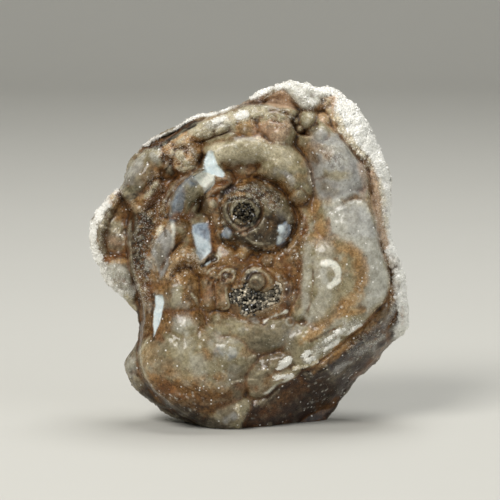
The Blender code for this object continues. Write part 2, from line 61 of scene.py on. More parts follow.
@dataclass(frozen=True)
class FaceFrame:
    """Where the stone's face stands in the world."""

    lean_deg: float = 8.0
    flat_u: float = 0.45
    flat_w: float = -5.7
    floor_lift: float = 0.42

    def matrix(self) -> Matrix:
        """The face frame's place in the world, in metres."""
        lean = math.radians(self.lean_deg)
        shift = Vector((-self.flat_u, self.flat_w * math.cos(lean), -self.floor_lift)) * MM
        return Matrix.Translation(shift) @ Matrix.Rotation(math.radians(90.0) - lean, 4, "X")

    def to_world(self, points: Array) -> Array:
        """Turns (n, 3) points of the face frame, in millimetres, into world points in metres."""
        place = np.array(self.matrix())
        return points * MM @ place[:3, :3].T + place[:3, 3]


FACE = FaceFrame()


class Noise:
    """Repeatable random fields, worked out for whole arrays of points at once."""

    PRIMES = (73856093, 19349663, 83492791, 2654435761)
    STIRS = ((16, 0x7FEB352D), (15, 0x846CA68B), (16, 1))

    @classmethod
    def hashed(cls, cells: Array, salt: int) -> Array:
        """Random numbers from 0 to 1.

        Args:
            cells: (..., 3) array of whole numbers.
            salt: picks one of many random fields.

        Returns:
            One number for each cell.
        """
        a, b, c = np.moveaxis(cells.astype(np.int64), -1, 0)
        x = (a * cls.PRIMES[0]) ^ (b * cls.PRIMES[1]) ^ (c * cls.PRIMES[2]) ^ (salt * cls.PRIMES[3])
        x = (x & 0xFFFFFFFF).astype(np.uint32)
        for shift, factor in cls.STIRS:
            x ^= x >> np.uint32(shift)
            x *= np.uint32(factor)
        return x / 2.0**32

    @classmethod
    def value(cls, points: Array, cell: float, salt: int) -> Array:
        """Smooth noise with one random value at every corner of a grid of cells.

        Args:
            points: (n, 3) array.
            cell: size of the cells.
            salt: picks one of many random fields.

        Returns:
            One value for each point, from -1 to 1.
        """
        scaled = points / cell
        base = np.floor(scaled)
        part = scaled - base
        part = part * part * (3.0 - 2.0 * part)
        total = np.zeros(len(points))
        for corner in np.ndindex(2, 2, 2):
            share = np.prod(np.where(corner, part, 1.0 - part), axis=1)
            total += share * cls.hashed(base + corner, salt)
        return total * 2.0 - 1.0

    @classmethod
    def fractal(cls, points: Array, cell: float, octaves: int, salt: int) -> Array:
        """Smooth noise with finer and weaker layers on it.

        Args:
            points: (n, 3) array.
            cell: size of the coarsest cells.
            octaves: how many layers, each half as coarse and half as strong.
            salt: picks one of many random fields.

        Returns:
            One value for each point, about -1 to 1.
        """
        total, weight = np.zeros(len(points)), 0.0
        for octave in range(octaves):
            strength = 0.5**octave
            total += strength * cls.value(points, cell * strength, salt + octave)
            weight += strength
        return total / weight

    @classmethod
    def cells(cls, points: Array, cell: float, salt: int) -> tuple[Array, Array]:
        """A random cell pattern.

        Args:
            points: (n, 3) array.
            cell: size of the cells.
            salt: picks one of many patterns.

        Returns:
            The distance to the nearest cell's middle, and that cell's own random number.
        """
        scaled = points / cell
        base = np.floor(scaled)
        nearest_yet, mark = np.full(len(points), np.inf), np.zeros(len(points))
        for neighbour in np.ndindex(3, 3, 3):
            corner = base + neighbour - 1.0
            middle = corner + np.stack([cls.hashed(corner, salt + axis) for axis in range(3)], axis=1)
            distance = np.linalg.norm(scaled - middle, axis=1)
            closer = distance < nearest_yet
            mark = np.where(closer, cls.hashed(corner, salt + 3), mark)
            nearest_yet = np.where(closer, distance, nearest_yet)
        return nearest_yet, mark


def step(x: Array) -> Array:
    """A smooth step from 0 at x = 0 to 1 at x = 1."""
    x = np.clip(x, 0.0, 1.0)
    return x * x * (3.0 - 2.0 * x)


def raised(at: Array, w: float | Array = 0.0) -> Array:
    """(n, 2) places on the face as (n, 3) points at height w."""
    return np.insert(at, 2, w, axis=1)


def nearest(line: Line, at: Array) -> tuple[Array, Array]:
    """How far every place is from a line.

    Args:
        line: points of u, v and a third value.
        at: (n, 2) places on the face.

    Returns:
        The distance to the line, and the line's third value at its nearest place.
    """
    u, v = at[:, 0], at[:, 1]
    if len(line) == 1:
        u0, v0, value = line[0]
        return np.hypot(u - u0, v - v0), np.full_like(u, value)
    best, held = np.full_like(u, np.inf), np.zeros_like(u)
    for (u0, v0, a), (u1, v1, b) in zip(line, line[1:]):
        du, dv = u1 - u0, v1 - v0
        t = np.clip(((u - u0) * du + (v - v0) * dv) / (du * du + dv * dv), 0.0, 1.0)
        distance = np.hypot(u - u0 - t * du, v - v0 - t * dv)
        closer = distance < best
        best = np.where(closer, distance, best)
        held = np.where(closer, a + t * (b - a), held)
    return best, held


def flat(places: Corners) -> Line:
    """The same places with nothing as their third value."""
    return tuple((u, v, 0.0) for u, v in places)


def depth_inside(corners: Corners, at: Array) -> Array:
    """How deep every place lies inside a closed outline, below zero outside it.

    Args:
        corners: the outline's u and v, in order.
        at: (n, 2) places on the face.

    Returns:
        Distance to the outline, with its sign.
    """
    closed = flat(corners + corners[:1])
    distance, _ = nearest(closed, at)
    u, v = at[:, 0], at[:, 1]
    inside = np.zeros(len(at), bool)
    for (u0, v0, _), (u1, v1, _) in zip(closed, closed[1:]):
        if v0 != v1:
            inside ^= ((v0 > v) != (v1 > v)) & (u < (u1 - u0) * (v - v0) / (v1 - v0) + u0)
    return np.where(inside, distance, -distance)


def around(points: Line | Corners, at: Array, reach: float) -> Array:
    """Finds the places near some points.

    Args:
        points: the points, which start with u and v.
        at: (n, 2) places on the face.
        reach: how far past the box around the points they may be.

    Returns:
        Indices of the places.
    """
    ends = np.array(points)[:, :2]
    inside = (at > ends.min(axis=0) - reach) & (at < ends.max(axis=0) + reach)
    return np.flatnonzero(inside.all(axis=1))


def ragged_edges(at: Array) -> Array:
    """A random value for every place, about -1 to 1, that makes the edges of marks and pits ragged."""
    return Noise.fractal(raised(at), 1.3, 3, 31) * 1.6


@dataclass(frozen=True)
class Lobe:
    """A rounded swelling along a line of (u, v, top) points, and `drop` lower at `width` from it."""

    width: float
    drop: float
    line: Line
    power: float = 2.0


@dataclass(frozen=True)
class Groove:
    """A crease along a line of (u, v, depth) points, gone at `width` from it. A ridge has depths below 0."""

    width: float
    line: Line


@dataclass(frozen=True)
class Recess:
    """A pit with a drawn outline and a flat floor."""

    corners: Corners
    floor: float
    wall: float = 0.35
    ragged: float = 0.1


@dataclass(frozen=True)
class Ring:
    """A round ridge, or a round crease where its height is below zero."""

    middle: Pair
    radius: float
    width: float
    height: float


@dataclass(frozen=True)
class Grain:
    """Crystal lumps along a line of (u, v, reach) points: their size, how far they stand out, and a salt."""

    cell: float
    height: float
    line: Line
    salt: int = 0


# The silhouette of the face, clockwise from the top: u, v and the height w of the rim line
OUTLINE: Line = (
    (6.8, 58.2, -2), (9.4, 57.6, -2), (11, 56.9, -2), (12.8, 57.3, -2), (14.5, 56.5, -2.2),
    (17.7, 54.1, -2.5), (19.8, 51, -2.8), (21.4, 47.4, -3), (23, 43.9, -3), (23.6, 41.4, -3),
    (23.3, 36.8, -3), (22.8, 34.4, -3), (23.4, 32.4, -3.2), (24.5, 29.3, -3.4), (25.3, 27.8, -3.6),
    (26.1, 23.4, -4.2), (26.5, 18.7, -5.2), (26.2, 16.5, -6), (23.6, 14, -7.4), (18.8, 8.9, -8.6),
    (16.1, 5.9, -8.6), (14.3, 3.2, -8.2), (12.9, 1, -7.4), (11.4, -1.2, -6.4), (8, -3.2, -5.4), (1, -3.8, -5),
    (-5.2, -2.8, -4.8), (-7.8, -0.3, -4.6), (-10.8, 1.1, -4.4), (-15.4, 3.5, -3.8), (-18.1, 5.5, -3.2),
    (-20.2, 8.2, -3), (-21.1, 10.8, -2.8), (-20.3, 12.7, -2.6), (-18.8, 14.4, -2.4), (-18.3, 17.6, -2),
    (-18.9, 20, -2), (-21.7, 22.6, -2.4), (-24, 24.8, -2.8), (-25.8, 28.4, -3), (-26.8, 32.4, -3),
    (-26.5, 35, -2.8), (-24.8, 37.3, -2.4), (-23, 39.5, -2.2), (-21.4, 40.8, -2), (-21, 43, -1.8),
    (-19.5, 45.8, -1.6), (-16.2, 48.7, -1.4), (-11.4, 50.9, -1.4), (-9.3, 52.2, -1.4), (-4.7, 53.1, -1.4),
    (-1.6, 54.2, -1.6), (0.6, 55.7, -1.8), (4, 57.7, -2),
)

# The edge of the front mass, which stands as a ledge over the plate behind it
FRONT_EDGE: Corners = (
    (-17.8, 46.6), (-15, 47.6), (-12.2, 49.3), (-9.3, 51.2), (-5, 52.7), (-1, 53.9), (3, 54.2), (6.6, 53.8),
    (8.2, 53), (10.6, 52.8), (12, 51.6), (13.4, 50.2), (15, 48.2), (16.6, 46.6), (17.8, 45), (19.1, 43.9),
    (19.7, 42), (19.8, 39.5), (20.3, 37), (21, 34.6), (21.1, 32), (21.6, 29.8), (22.6, 27.6), (23.1, 25.6),
    (23, 23.6), (22.3, 21.6), (20.8, 20.2), (19.6, 18.7), (17.4, 16.6), (15, 14.6), (12.6, 12.4),
    (10.6, 10.7), (8.6, 10.4), (7.2, 8.8), (4.6, 7.6), (2.6, 5.8), (0.4, 4.6), (-0.8, 2.6), (-1.6, 0),
    (-2.2, -5), (-7, -5), (-8.4, 0.8), (-10.8, 2.4), (-13.6, 4.4), (-16, 6.5), (-17.6, 8.8), (-18.3, 11),
    (-18.4, 13.4), (-18.2, 16), (-17.7, 18.6), (-18, 21.5), (-18.8, 24.2), (-19.8, 27), (-20.2, 30),
    (-20.3, 33), (-20, 35.6), (-20.8, 38), (-21.8, 40.4), (-21.6, 43), (-20.6, 45), (-19.2, 46.2),
)

# The plate behind the front mass: its frosted rim, the left wing, the dark side and the underside
PLATE: tuple[Lobe, ...] = (
    Lobe(7, 2, ((-13, 46, 0.4), (5, 53, 0.6), (16, 48, 1.2), (20.5, 38, 0.6), (23, 27, 0.4))),
    Lobe(5.5, 1.6, ((-22, 33, -1), (-20, 26, -0.6), (-18.5, 19, -0.4))),
    Lobe(7.5, 9, ((-2, 1.5, 2.6), (2.4, 5, 2.8), (7.6, 9.3, 3), (12, 11.9, 3), (17.4, 15.8, 2.6),
        (21.8, 20, 1.8), (23.6, 23.6, 0.6)), 1.35),
    Lobe(1.3, 1.1, ((9.4, 9.6, 3.4), (12.6, 11.4, 4.2), (16, 14.2, 4.2), (19.2, 17, 4), (22, 19.8, 3.4),
        (23.8, 22.6, 2.4))),
    Lobe(5, 5.6, ((-18.2, 13, 0.6), (-17.4, 8.8, 0.8), (-13.6, 4.8, 1.4), (-8.8, 2.2, 2.2), (-4, 0, 2.6)),
        1.3),
    Lobe(3, 1.9, ((12.6, 55.6, 2.4), (15, 54.6, 2.8), (17.4, 51.6, 3.6), (19, 48.2, 3.4), (20.9, 44.4, 2.6),
        (21.9, 40.4, 2))),
    Lobe(2.3, 1.5, ((21.9, 40.4, 1.8), (22, 36.6, 1.5), (22.3, 33, 1.5), (23.4, 29.4, 1.6), (24.6, 25.4, 1.4),
        (25, 21, 1), (24.9, 17.6, 0.2))),
    Lobe(1.5, 1.5, ((1.4, 55.4, 1), (3.8, 56.7, 1.8), (6.4, 57.1, 2.6), (12.6, 56.2, 2.6), (14.9, 55, 2.8))),
    Lobe(2.9, 2.6, ((8.9, 56.4, 4.4), (9.6, 54.9, 4))),
    Lobe(1.4, 0.9, ((14.5, 51.8, 4.4), (15.4, 49.8, 4.7), (16.9, 47.7, 4.7), (18.6, 45.6, 4.1),
        (20.2, 43.4, 3.3))),
    Lobe(1.3, 0.9, ((20.3, 42.2, 3.3), (20.6, 39.6, 3.3), (21, 37, 3), (21.6, 34.4, 2.9), (22, 31.6, 2.9),
        (23, 28.4, 2.7))),
    Lobe(1.5, 1.7, ((-22.6, 39, 0.6), (-25.2, 35.8, 1), (-25.9, 32.4, 1.3), (-25.1, 29, 1.1),
        (-23.6, 26.4, 1), (-21.6, 24, 1.2), (-19.9, 22.2, 0.6))),
    Lobe(2.4, 1.4, ((-21.6, 26.4, 1.6),)),
    Lobe(1.7, 1.3, ((-19.7, 10.9, 0.4),)),
    Lobe(1.6, 1.3, ((-18.9, 7.9, 0.6),)),
    Lobe(0.9, 1, ((-19, 46.2, 0.4), (-16.4, 48.3, 0.8), (-13.4, 49.6, 1), (-10.3, 51.4, 1.2),
        (-7.2, 52.5, 1.4))),
)

# The front mass: overlapping petals, rolls and swellings
MASS: tuple[Lobe, ...] = (
    Lobe(24, 3.6, ((0.5, 28, 5.2),)),
    Lobe(9.2, 4.2, ((-9.4, 10.6, 7.4),), 2.6),
    Lobe(3.4, 1.7, ((-10.8, 17.4, 6.7),)),
    Lobe(3, 1.4, ((-3.4, 13, 7.2),)),
    Lobe(3.6, 2.2, ((-11.2, 23, 6.9),)),
    Lobe(1.3, 1.1, ((-13.8, 25.2, 5.8), (-12.6, 27.8, 6.5), (-10.6, 29, 6.8), (-8.6, 28.2, 6.6),
        (-7.2, 26.2, 6))),
    Lobe(2, 1.6, ((-12.4, 33.6, 6.2), (-14.2, 30.8, 5.8), (-15, 27.6, 5.3), (-14.8, 25.2, 4.6))),
    Lobe(2, 1.3, ((-12.6, 36.6, 5.5), (-11, 39.4, 6.5), (-8.8, 41.2, 6.9), (-6.6, 43.2, 6.4)), 3),
    Lobe(2.9, 2.6, ((-19.2, 39.8, 4.4), (-18.1, 42.4, 5.6), (-16.3, 45, 5.2))),
    Lobe(1.5, 1, ((-15.5, 45.4, 5.9),)),
    Lobe(1.1, 0.9, ((-18.4, 37.2, 4.4),)),
    Lobe(1, 0.8, ((-16.6, 35.9, 4.2),)),
    Lobe(0.8, 0.7, ((-17.6, 38.2, 4.6), (-15.6, 40.6, 5))),
    Lobe(1.4, 1, ((-13.2, 46.2, 5.4),)),
    Lobe(1.2, 0.9, ((-13.3, 43.8, 5.2),)),
    Lobe(2.3, 1.3, ((-10.6, 45.2, 5.8),)),
    Lobe(1.4, 0.9, ((-11.4, 47.9, 5.4),)),
    Lobe(1.9, 1.7, ((-12, 48.6, 4.2), (-9, 49.9, 5), (-5, 51.2, 5.7), (-1, 52.2, 6.1), (2.8, 52.8, 5.9),
        (6, 52.4, 5.3))),
    Lobe(2.6, 1.5, ((3.8, 50.6, 6.7),)),
    Lobe(2.1, 1.2, ((-0.4, 50, 6.3),)),
    Lobe(1.5, 0.8, ((4.6, 49, 7),)),
    Lobe(2.1, 1.6, ((-5.2, 45.8, 6.4), (-2, 46.9, 7.1), (1.5, 46.9, 7.1), (4.8, 45.5, 6.9), (7.2, 43.2, 6.5),
        (8.4, 40.4, 5.8))),
    Lobe(2.1, 1.1, ((4.6, 43.6, 7.3),)),
    Lobe(1.7, 1.1, ((6.7, 41.2, 7),)),
    Lobe(1, 0.9, ((7.9, 38.9, 7),)),
    Lobe(3.7, 1.9, ((12.2, 48, 6.3), (14.2, 45.3, 7.3), (15.4, 42.6, 7.4), (15.2, 40.4, 6.8))),
    Lobe(5.4, 2.6, ((16.2, 36.4, 7.2), (17.4, 32, 7.6), (18, 27, 7.4), (17.4, 23, 6.6)), 2.3),
    Lobe(3.3, 1.5, ((12.6, 28.6, 6.7), (12.8, 24, 6.9), (12.2, 19.6, 6.5))),
    Lobe(3, 1.8, ((7.6, 14.6, 6.2), (12, 16.4, 6.2), (16.4, 19.6, 6.3))),
    Lobe(2.4, 1.3, ((-4.6, 17.4, 6.2), (0, 16.2, 6.5), (4.6, 16.6, 6.3))),
    Lobe(1.6, 1, ((9.6, 31.4, 5.9), (9.9, 27, 6.2), (9.5, 23, 6), (8, 20, 5.7))),
    Lobe(2.9, 2.2, ((-12.4, 5.2, 4.6), (-6.4, 3.2, 4.6), (-2.2, 3.2, 4.6))),
    Lobe(3.2, 1.7, ((1.6, 9.4, 5), (5.2, 11.6, 5.3), (9, 12.9, 5))),
    Lobe(1.6, 1, ((10.2, 12.4, 4.8), (14.2, 15.6, 5), (18.2, 18.7, 5.2), (21.4, 21.8, 5.4))),
    Lobe(2.2, 1.6, ((-18.4, 33, 3.4), (-17.2, 27.4, 3.4), (-17.2, 22, 3.4), (-17.6, 17.4, 3))),
)

# Shallow basins that the two eyes sit in, as grooves wide enough to be dishes
BASINS: tuple[Groove, ...] = (
    Groove(9.2, ((0.9, 35.4, 2.4),)),
    Groove(6.4, ((-3, 24, 1.2), (1, 24, 1.9), (4, 24, 1.6))),
    Groove(3.6, ((-5.2, 38.2, 1), (-7.6, 35, 1.2), (-6, 30.5, 1))),
)

# What stands in the basins: the two eyes, the beads round them and the curled lips beside the lower one
EYES: tuple[Lobe, ...] = (
    Lobe(5.7, 2.4, ((1.3, 35.2, 7),), 3.4),
    Lobe(3.3, 1, ((-1.2, 36.4, 7.7),), 2.6),
    Lobe(1.3, 1.2, ((-3.9, 32.9, 6.9),)),
    Lobe(0.6, 0.6, ((-2.2, 33.4, 7),)),
    Lobe(0.7, 0.6, ((-0.8, 33, 7),)),
    Lobe(0.9, 0.8, ((0.8, 36.4, 7.8),)),
    Lobe(1.3, 1, ((-1.2, 29.6, 5.8),)),
    Lobe(1, 0.9, ((3, 28.8, 5.7),)),
    Lobe(1.2, 1, ((-5.9, 37.4, 6.2),)),
    Lobe(1, 0.8, ((-6.9, 39.6, 6.2), (-4.4, 41.4, 6.4))),
    Lobe(4.4, 1.1, ((0.4, 22.4, 5.9), (2.8, 22.6, 5.9)), 3),
    Lobe(2.2, 0.9, ((1.2, 24.6, 6.7),), 2.4),
    Lobe(1, 0.6, ((3, 25.2, 6.3),)),
    Lobe(1.2, 0.9, ((-6.2, 25.8, 6),)),
    Lobe(1.5, 1, ((-3.9, 25.6, 6.2),)),
    Lobe(1.4, 1.1, ((-7, 24.2, 6.3), (-6.9, 21.8, 6.3))),
    Lobe(1.2, 1, ((-4.7, 24, 6.2), (-4.5, 21.6, 6.2))),
    Lobe(1, 0.9, ((-2.3, 22.3, 6.4),)),
)

# The cavity at the upper right, and the ragged pits of the two eyes
CAVITY: Corners = (
    (6.9, 51.2), (7.4, 49.8), (8.4, 49.1), (9.8, 49), (10.8, 49.8), (11.2, 51.2), (10.7, 52.6), (9.4, 53.1),
    (8, 52.8),
)
UPPER_PIT: Corners = (
    (-2.5, 36.2), (-2.3, 35.3), (-1.5, 34.7), (-0.4, 34.8), (0.4, 35.5), (0.5, 36.6), (-0.1, 37.5),
    (-1.2, 37.8), (-2.1, 37.3),
)
LOWER_PIT: Corners = (
    (-3.2, 22.6), (-2.4, 23.4), (-1.2, 23.8), (-0.6, 24.6), (-0.2, 23.6), (1, 23.2), (2.6, 23.2), (3.6, 23.6),
    (4.6, 24.6), (5.2, 24.2), (5, 23), (4.8, 21.6), (3.6, 20.9), (2.2, 20.6), (0.6, 19.8), (-0.6, 19.4),
    (-1.4, 20.2), (-2, 21.2), (-3, 21.6),
)

# Bare pale floors between the petals
BARE_LONG: Corners = (
    (-9.3, 42.1), (-8.2, 42.7), (-7.4, 43.2), (-7.5, 44.2), (-7.3, 45.4), (-6.7, 46.2), (-6.1, 46.1),
    (-5.8, 45.2), (-5.4, 44), (-4.7, 43.3), (-4.2, 42.7), (-4.5, 42), (-5.2, 42.1), (-5.9, 42.4), (-5.8, 41),
    (-6.5, 40.2), (-7.5, 39.2), (-7.7, 40.2), (-8.5, 41.3),
)
BARE_OVAL: Corners = (
    (-9.5, 34), (-8.6, 34.4), (-6.8, 34.4), (-6.6, 33), (-6.5, 31.4), (-6.3, 30), (-7.4, 28.7), (-8.1, 28.2),
    (-8.8, 29.4), (-9, 31.2), (-9.5, 32.8),
)
BARE_SLIT: Corners = (
    (-15.6, 22.4), (-14.5, 22.5), (-14.2, 21.4), (-14.5, 19.8), (-15, 17.6), (-15.8, 15.9), (-16.1, 17.6),
    (-15.9, 19.4), (-15.6, 21),
)
UPPER_EYE_PIT = Recess(UPPER_PIT, 6.6, 0.6, 0.4)
LOWER_EYE_PIT = Recess(LOWER_PIT, 4.7, 0.5, 0.45)
RECESSES: tuple[Recess, ...] = (
    Recess(BARE_LONG, 5.2),
    Recess(BARE_OVAL, 4.6),
    Recess(BARE_SLIT, 3.8),
    Recess(CAVITY, 1.8, 0.8),
    UPPER_EYE_PIT,
    LOWER_EYE_PIT,
)

# Beads that fill the small cavity at the upper right
BEADS: tuple[Lobe, ...] = (
    Lobe(1.7, 1.7, ((9.7, 51.5, 4.9),)),
    Lobe(0.9, 1, ((8.3, 50.1, 3.8),)),
    Lobe(0.7, 0.8, ((7.7, 51.4, 3.8),)),
    Lobe(0.9, 0.9, ((12, 51.1, 5.6),)),
    Lobe(1.5, 1.5, ((11.7, 48.9, 7),)),
)

GROOVES: tuple[Groove, ...] = (
    Groove(1.1, ((-18, 47, 0.7), (-15.2, 48.1, 1.1), (-12.2, 49.6, 1), (-9.4, 51.3, 0.6))),
    Groove(0.6, ((16.8, 46.4, 0.2), (18.2, 44.8, 0.35), (19.7, 43.2, 0.3), (20, 39.6, 0.3),
        (20.4, 37.6, 0.1))),
    Groove(0.8, ((-13.8, 35.4, 0.8), (-13.2, 38.6, 1.2), (-11.6, 41.6, 1.2), (-8.6, 43.6, 1.2),
        (-8, 45.6, 1))),
    Groove(0.8, ((-4.2, 41.2, 0.7), (-5.8, 40.8, 1.1), (-7.6, 38.6, 1.2), (-8.4, 36.4, 0.8))),
    Groove(0.9, ((-20.4, 38.4, 1.6), (-19.6, 36, 1.8), (-19.4, 33.4, 0.8))),
    Groove(0.9, ((13.4, 36.4, 0.2), (15.2, 37.9, 0.5), (17.2, 38.9, 0.5), (18.7, 38.6, 0.4),
        (19.4, 37.2, 0.2))),
    Groove(1.2, ((-14.6, 8.2, 0.3), (-8, 5.4, 0.5), (-1, 6.6, 0.5), (4, 10, 0.6), (7, 10.8, 0.6))),
)

RINGS: tuple[Ring, ...] = (
    Ring((-1.2, 36.3), 3.2, 0.35, -0.55),
    Ring((-1.2, 36.3), 2.2, 0.3, -0.35),
    Ring((1.2, 35.3), 6.3, 0.6, -0.7),
    Ring((-3.9, 25.7), 1.3, 0.22, 0.3),
    Ring((1.2, 24.8), 1.5, 0.25, -0.3),
    Ring((1.2, 24.4), 3, 0.4, -0.4),
)

# Where the stone is rough with crystals
GRAINS: tuple[Grain, ...] = (
    Grain(2.1, 1.1, ((11.6, 56.4, 3.4), (15.2, 55.2, 3.4), (18.2, 51.6, 4), (20.4, 47.4, 3.6), (22, 43, 3),
        (22.4, 37, 2.4), (23, 33, 2.4), (24.2, 28.4, 2.4), (25.2, 23, 2.6), (25.2, 18, 2.4)), 1),
    Grain(1.1, 1, ((23.4, 34, 1.5), (24.4, 30, 1.8), (25.6, 24.6, 2), (25.8, 19, 2), (25.2, 16.6, 1.2)), 12),
    Grain(1.6, 0.5, ((1.6, 55.6, 1.8), (5.4, 57.2, 2.2), (9, 56.4, 3), (9.6, 54.6, 2.4)), 2),
    Grain(1.5, 0.6, ((-22.4, 39.6, 1.8), (-25.4, 36, 2.2), (-26.2, 32.4, 2.2), (-25.4, 29, 2.2),
        (-23.6, 26, 2.4), (-20.6, 23.2, 2)), 3),
    Grain(1.5, 0.8, ((-14.6, 46.6, 2.2), (-11, 45.6, 3), (-9.6, 47.8, 2.2)), 4),
    Grain(1, 0.42, ((-15.6, 41.6, 1.8), (-15.4, 38, 2.4), (-16.4, 34.6, 2.6), (-17.6, 31, 2.4), (-18, 27, 2),
        (-17.6, 22, 1.4)), 5),
    Grain(1.1, 0.5, ((-8.6, 49.2, 1.6), (-3, 51.6, 1.8), (2, 52.4, 2), (6, 51.4, 2.2)), 6),
    Grain(0.9, 0.35, ((12.6, 47, 1.6), (14, 44.6, 1.8)), 7),
    Grain(0.8, 0.35, ((9.6, 12.2, 1), (13.6, 15.2, 1.2), (17.4, 18.2, 1.4)), 8),
    Grain(1, 0.5, ((-13, 25.6, 1.4), (-10.8, 27.2, 1.8), (-9, 28.4, 1.6)), 9),
    Grain(0.7, 0.45, ((-2.6, 39, 1.6), (0.4, 39.6, 1.8), (3.6, 38, 2)), 10),
    Grain(1, 0.5, ((17.6, 13.4, 2.2), (21, 16, 2)), 11),
)

# The back: a shallow shell of broad swellings
BACK: tuple[Lobe, ...] = (
    Lobe(26, 4.6, ((1, 24, 11.4),), 2.4),
    Lobe(9, 3, ((-11, 36, 10.4),)),
    Lobe(8, 3, ((11, 42, 10.6),)),
    Lobe(9, 3, ((13, 22, 11.6),)),
    Lobe(9, 3, ((-6, 14, 12),)),
    Lobe(6, 2.4, ((4, 4, 12.2),)),
)


@dataclass(frozen=True)
class Relief:
    """The stone's surface as heights over its face. A pair is the cell size and the height of some noise."""

    middle: Pair = (0.8, 27.0)
    rim_rounding: float = 12.0
    rim_band: float = 0.1
    least_rim: float = 1.0
    least_depth: float = 6.0
    ledge_width: float = 0.9
    crease: float = 0.22
    soft_crease: float = 0.6
    lobe_reach: float = 3.2
    lump_fade: float = 0.9
    raising: float = 0.45
    wander: Pair = (3.4, 0.55)
    pucker: tuple[Pair, ...] = ((5.2, 1.0), (2.184, 0.35))
    crumble: tuple[Pair, ...] = ((3.0, 0.16), (1.1, 0.13))
    grit: Triple = (0.5, 0.04, 0.12)
    bulk: Pair = (7.0, 0.35)
    ragged_rim: Pair = (1.6, 0.6)

    @staticmethod
    def join(a: Array, b: Array, crease: float) -> Array:
        """The higher of two surfaces, rounded where they cross."""
        near = np.clip(1.0 - np.abs(a - b) / crease, 0.0, 1.0)
        return np.maximum(a, b) + near * near * crease / 4.0

    def swell(self, surface: Array, lobes: tuple[Lobe, ...], at: Array, crease: float) -> Array:
        """Adds swellings to a surface.

        Args:
            surface: heights so far.
            lobes: the swellings.
            at: (n, 2) places on the face.
            crease: how softly they run into one another.

        Returns:
            The higher of the surface and each swelling.
        """
        surface = surface.copy()
        for lobe in lobes:
            near = around(lobe.line, at, lobe.width * self.lobe_reach)
            distance, top = nearest(lobe.line, at[near])
            height = top - lobe.drop * (distance / lobe.width) ** lobe.power
            surface[near] = self.join(surface[near], height, crease)
        return surface

    def astray(self, at: Array) -> Array:
        """Moves places a little at random, so that no form comes out too regular."""
        cell, reach = self.wander
        return at + reach * np.stack([Noise.fractal(raised(at), cell, 3, salt) for salt in (61, 66)], axis=1)

    @staticmethod
    def carve(surface: Array, grooves: tuple[Groove, ...], at: Array) -> Array:
        """Cuts grooves into a surface, and raises ridges on it.

        Args:
            surface: heights so far.
            grooves: the grooves and ridges.
            at: (n, 2) places on the face.

        Returns:
            The new heights.
        """
        surface = surface.copy()
        for groove in grooves:
            near = around(groove.line, at, groove.width)
            distance, depth = nearest(groove.line, at[near])
            surface[near] -= depth * step(1.0 - distance / groove.width)
        return surface

    @staticmethod
    def sink(surface: Array, at: Array) -> Array:
        """Sinks the flat-floored pits into a surface.

        Args:
            surface: heights so far.
            at: (n, 2) places on the face.

        Returns:
            The new heights.
        """
        surface = surface.copy()
        for recess in RECESSES:
            near = around(recess.corners, at, 1.0)
            depth = depth_inside(recess.corners, at[near]) + recess.ragged * ragged_edges(at[near])
            inside = step(depth / recess.wall + 0.5)
            surface[near] += (np.minimum(surface[near], recess.floor) - surface[near]) * inside
        return surface

    def grain(self, at: Array) -> tuple[Array, Array]:
        """Finds the crystal lumps.

        Args:
            at: (n, 2) places on the face.

        Returns:
            Their height at every place, and how much every place is covered by them.
        """
        height, cover = np.zeros((2, len(at)))
        for zone in GRAINS:
            near = around(zone.line, at, max(point[2] for point in zone.line))
            distance, reach = nearest(zone.line, at[near])
            share = step((reach - distance) / self.lump_fade)
            places = raised(at[near], zone.salt)
            first, mark = Noise.cells(places, zone.cell, 40 + zone.salt)
            tilt = Noise.value(places, zone.cell * 0.4, 80 + zone.salt)
            lump = 1.0 - np.minimum(first, 1.0) ** 2 + 0.35 * mark + 0.25 * tilt
            height[near] += zone.height * share * (lump - 0.6)
            cover[near] = np.maximum(cover[near], share)
        return height, cover

    def front(self, at: Array) -> Array:
        """Shapes the front.

        Args:
            at: (n, 2) places on the face.

        Returns:
            Its height at every place.
        """
        below = np.full(len(at), FAR_BELOW)
        near_by = self.astray(at)
        plate = self.swell(below, PLATE, near_by, self.soft_crease)
        mass = self.carve(self.swell(below, MASS, near_by, self.soft_crease), BASINS, near_by)
        mass = self.swell(mass, EYES, near_by, 0.5 * (self.crease + self.soft_crease))
        for ring in RINGS:
            distance = np.hypot(*(near_by - ring.middle).T) - ring.radius
            mass += ring.height * np.exp(-((distance / ring.width) ** 2))
        share = step(depth_inside(FRONT_EDGE, at) / self.ledge_width + 0.5)
        surface = plate + (np.maximum(mass, plate) - plate) * share
        surface = self.swell(self.sink(surface, at), BEADS, at, self.crease)
        lumps, cover = self.grain(at)
        surface = self.carve(surface, GROOVES, near_by) + lumps
        warp = ragged_edges(at)
        for mark in PAINT:
            if mark.lift:
                near, share = mark.mask(at, warp)
                surface[near] += mark.lift * (self.raising if mark.lift > 0.0 else 1.0) * share
        places = raised(at)
        for salt, (cell, height) in enumerate(self.crumble):
            surface += height * Noise.value(places, cell, 90 + salt)
        cell, smooth, rough = self.grit
        return surface + (smooth + rough * cover) * Noise.value(places, cell, 95)

    def back(self, at: Array) -> Array:
        """Shapes the back, with its rounded bumps.

        Args:
            at: (n, 2) places on the face.

        Returns:
            Its height at every place.
        """
        depth = self.swell(np.full(len(at), FAR_BELOW), BACK, at, self.soft_crease)
        lumps = np.zeros(len(at))
        for cell, height in self.pucker:
            distance, _ = Noise.cells(raised(at), cell, 20)
            lumps += height * (1.0 - np.minimum(distance, 1.0) ** 2)
        return -np.maximum(depth, self.least_depth) - lumps

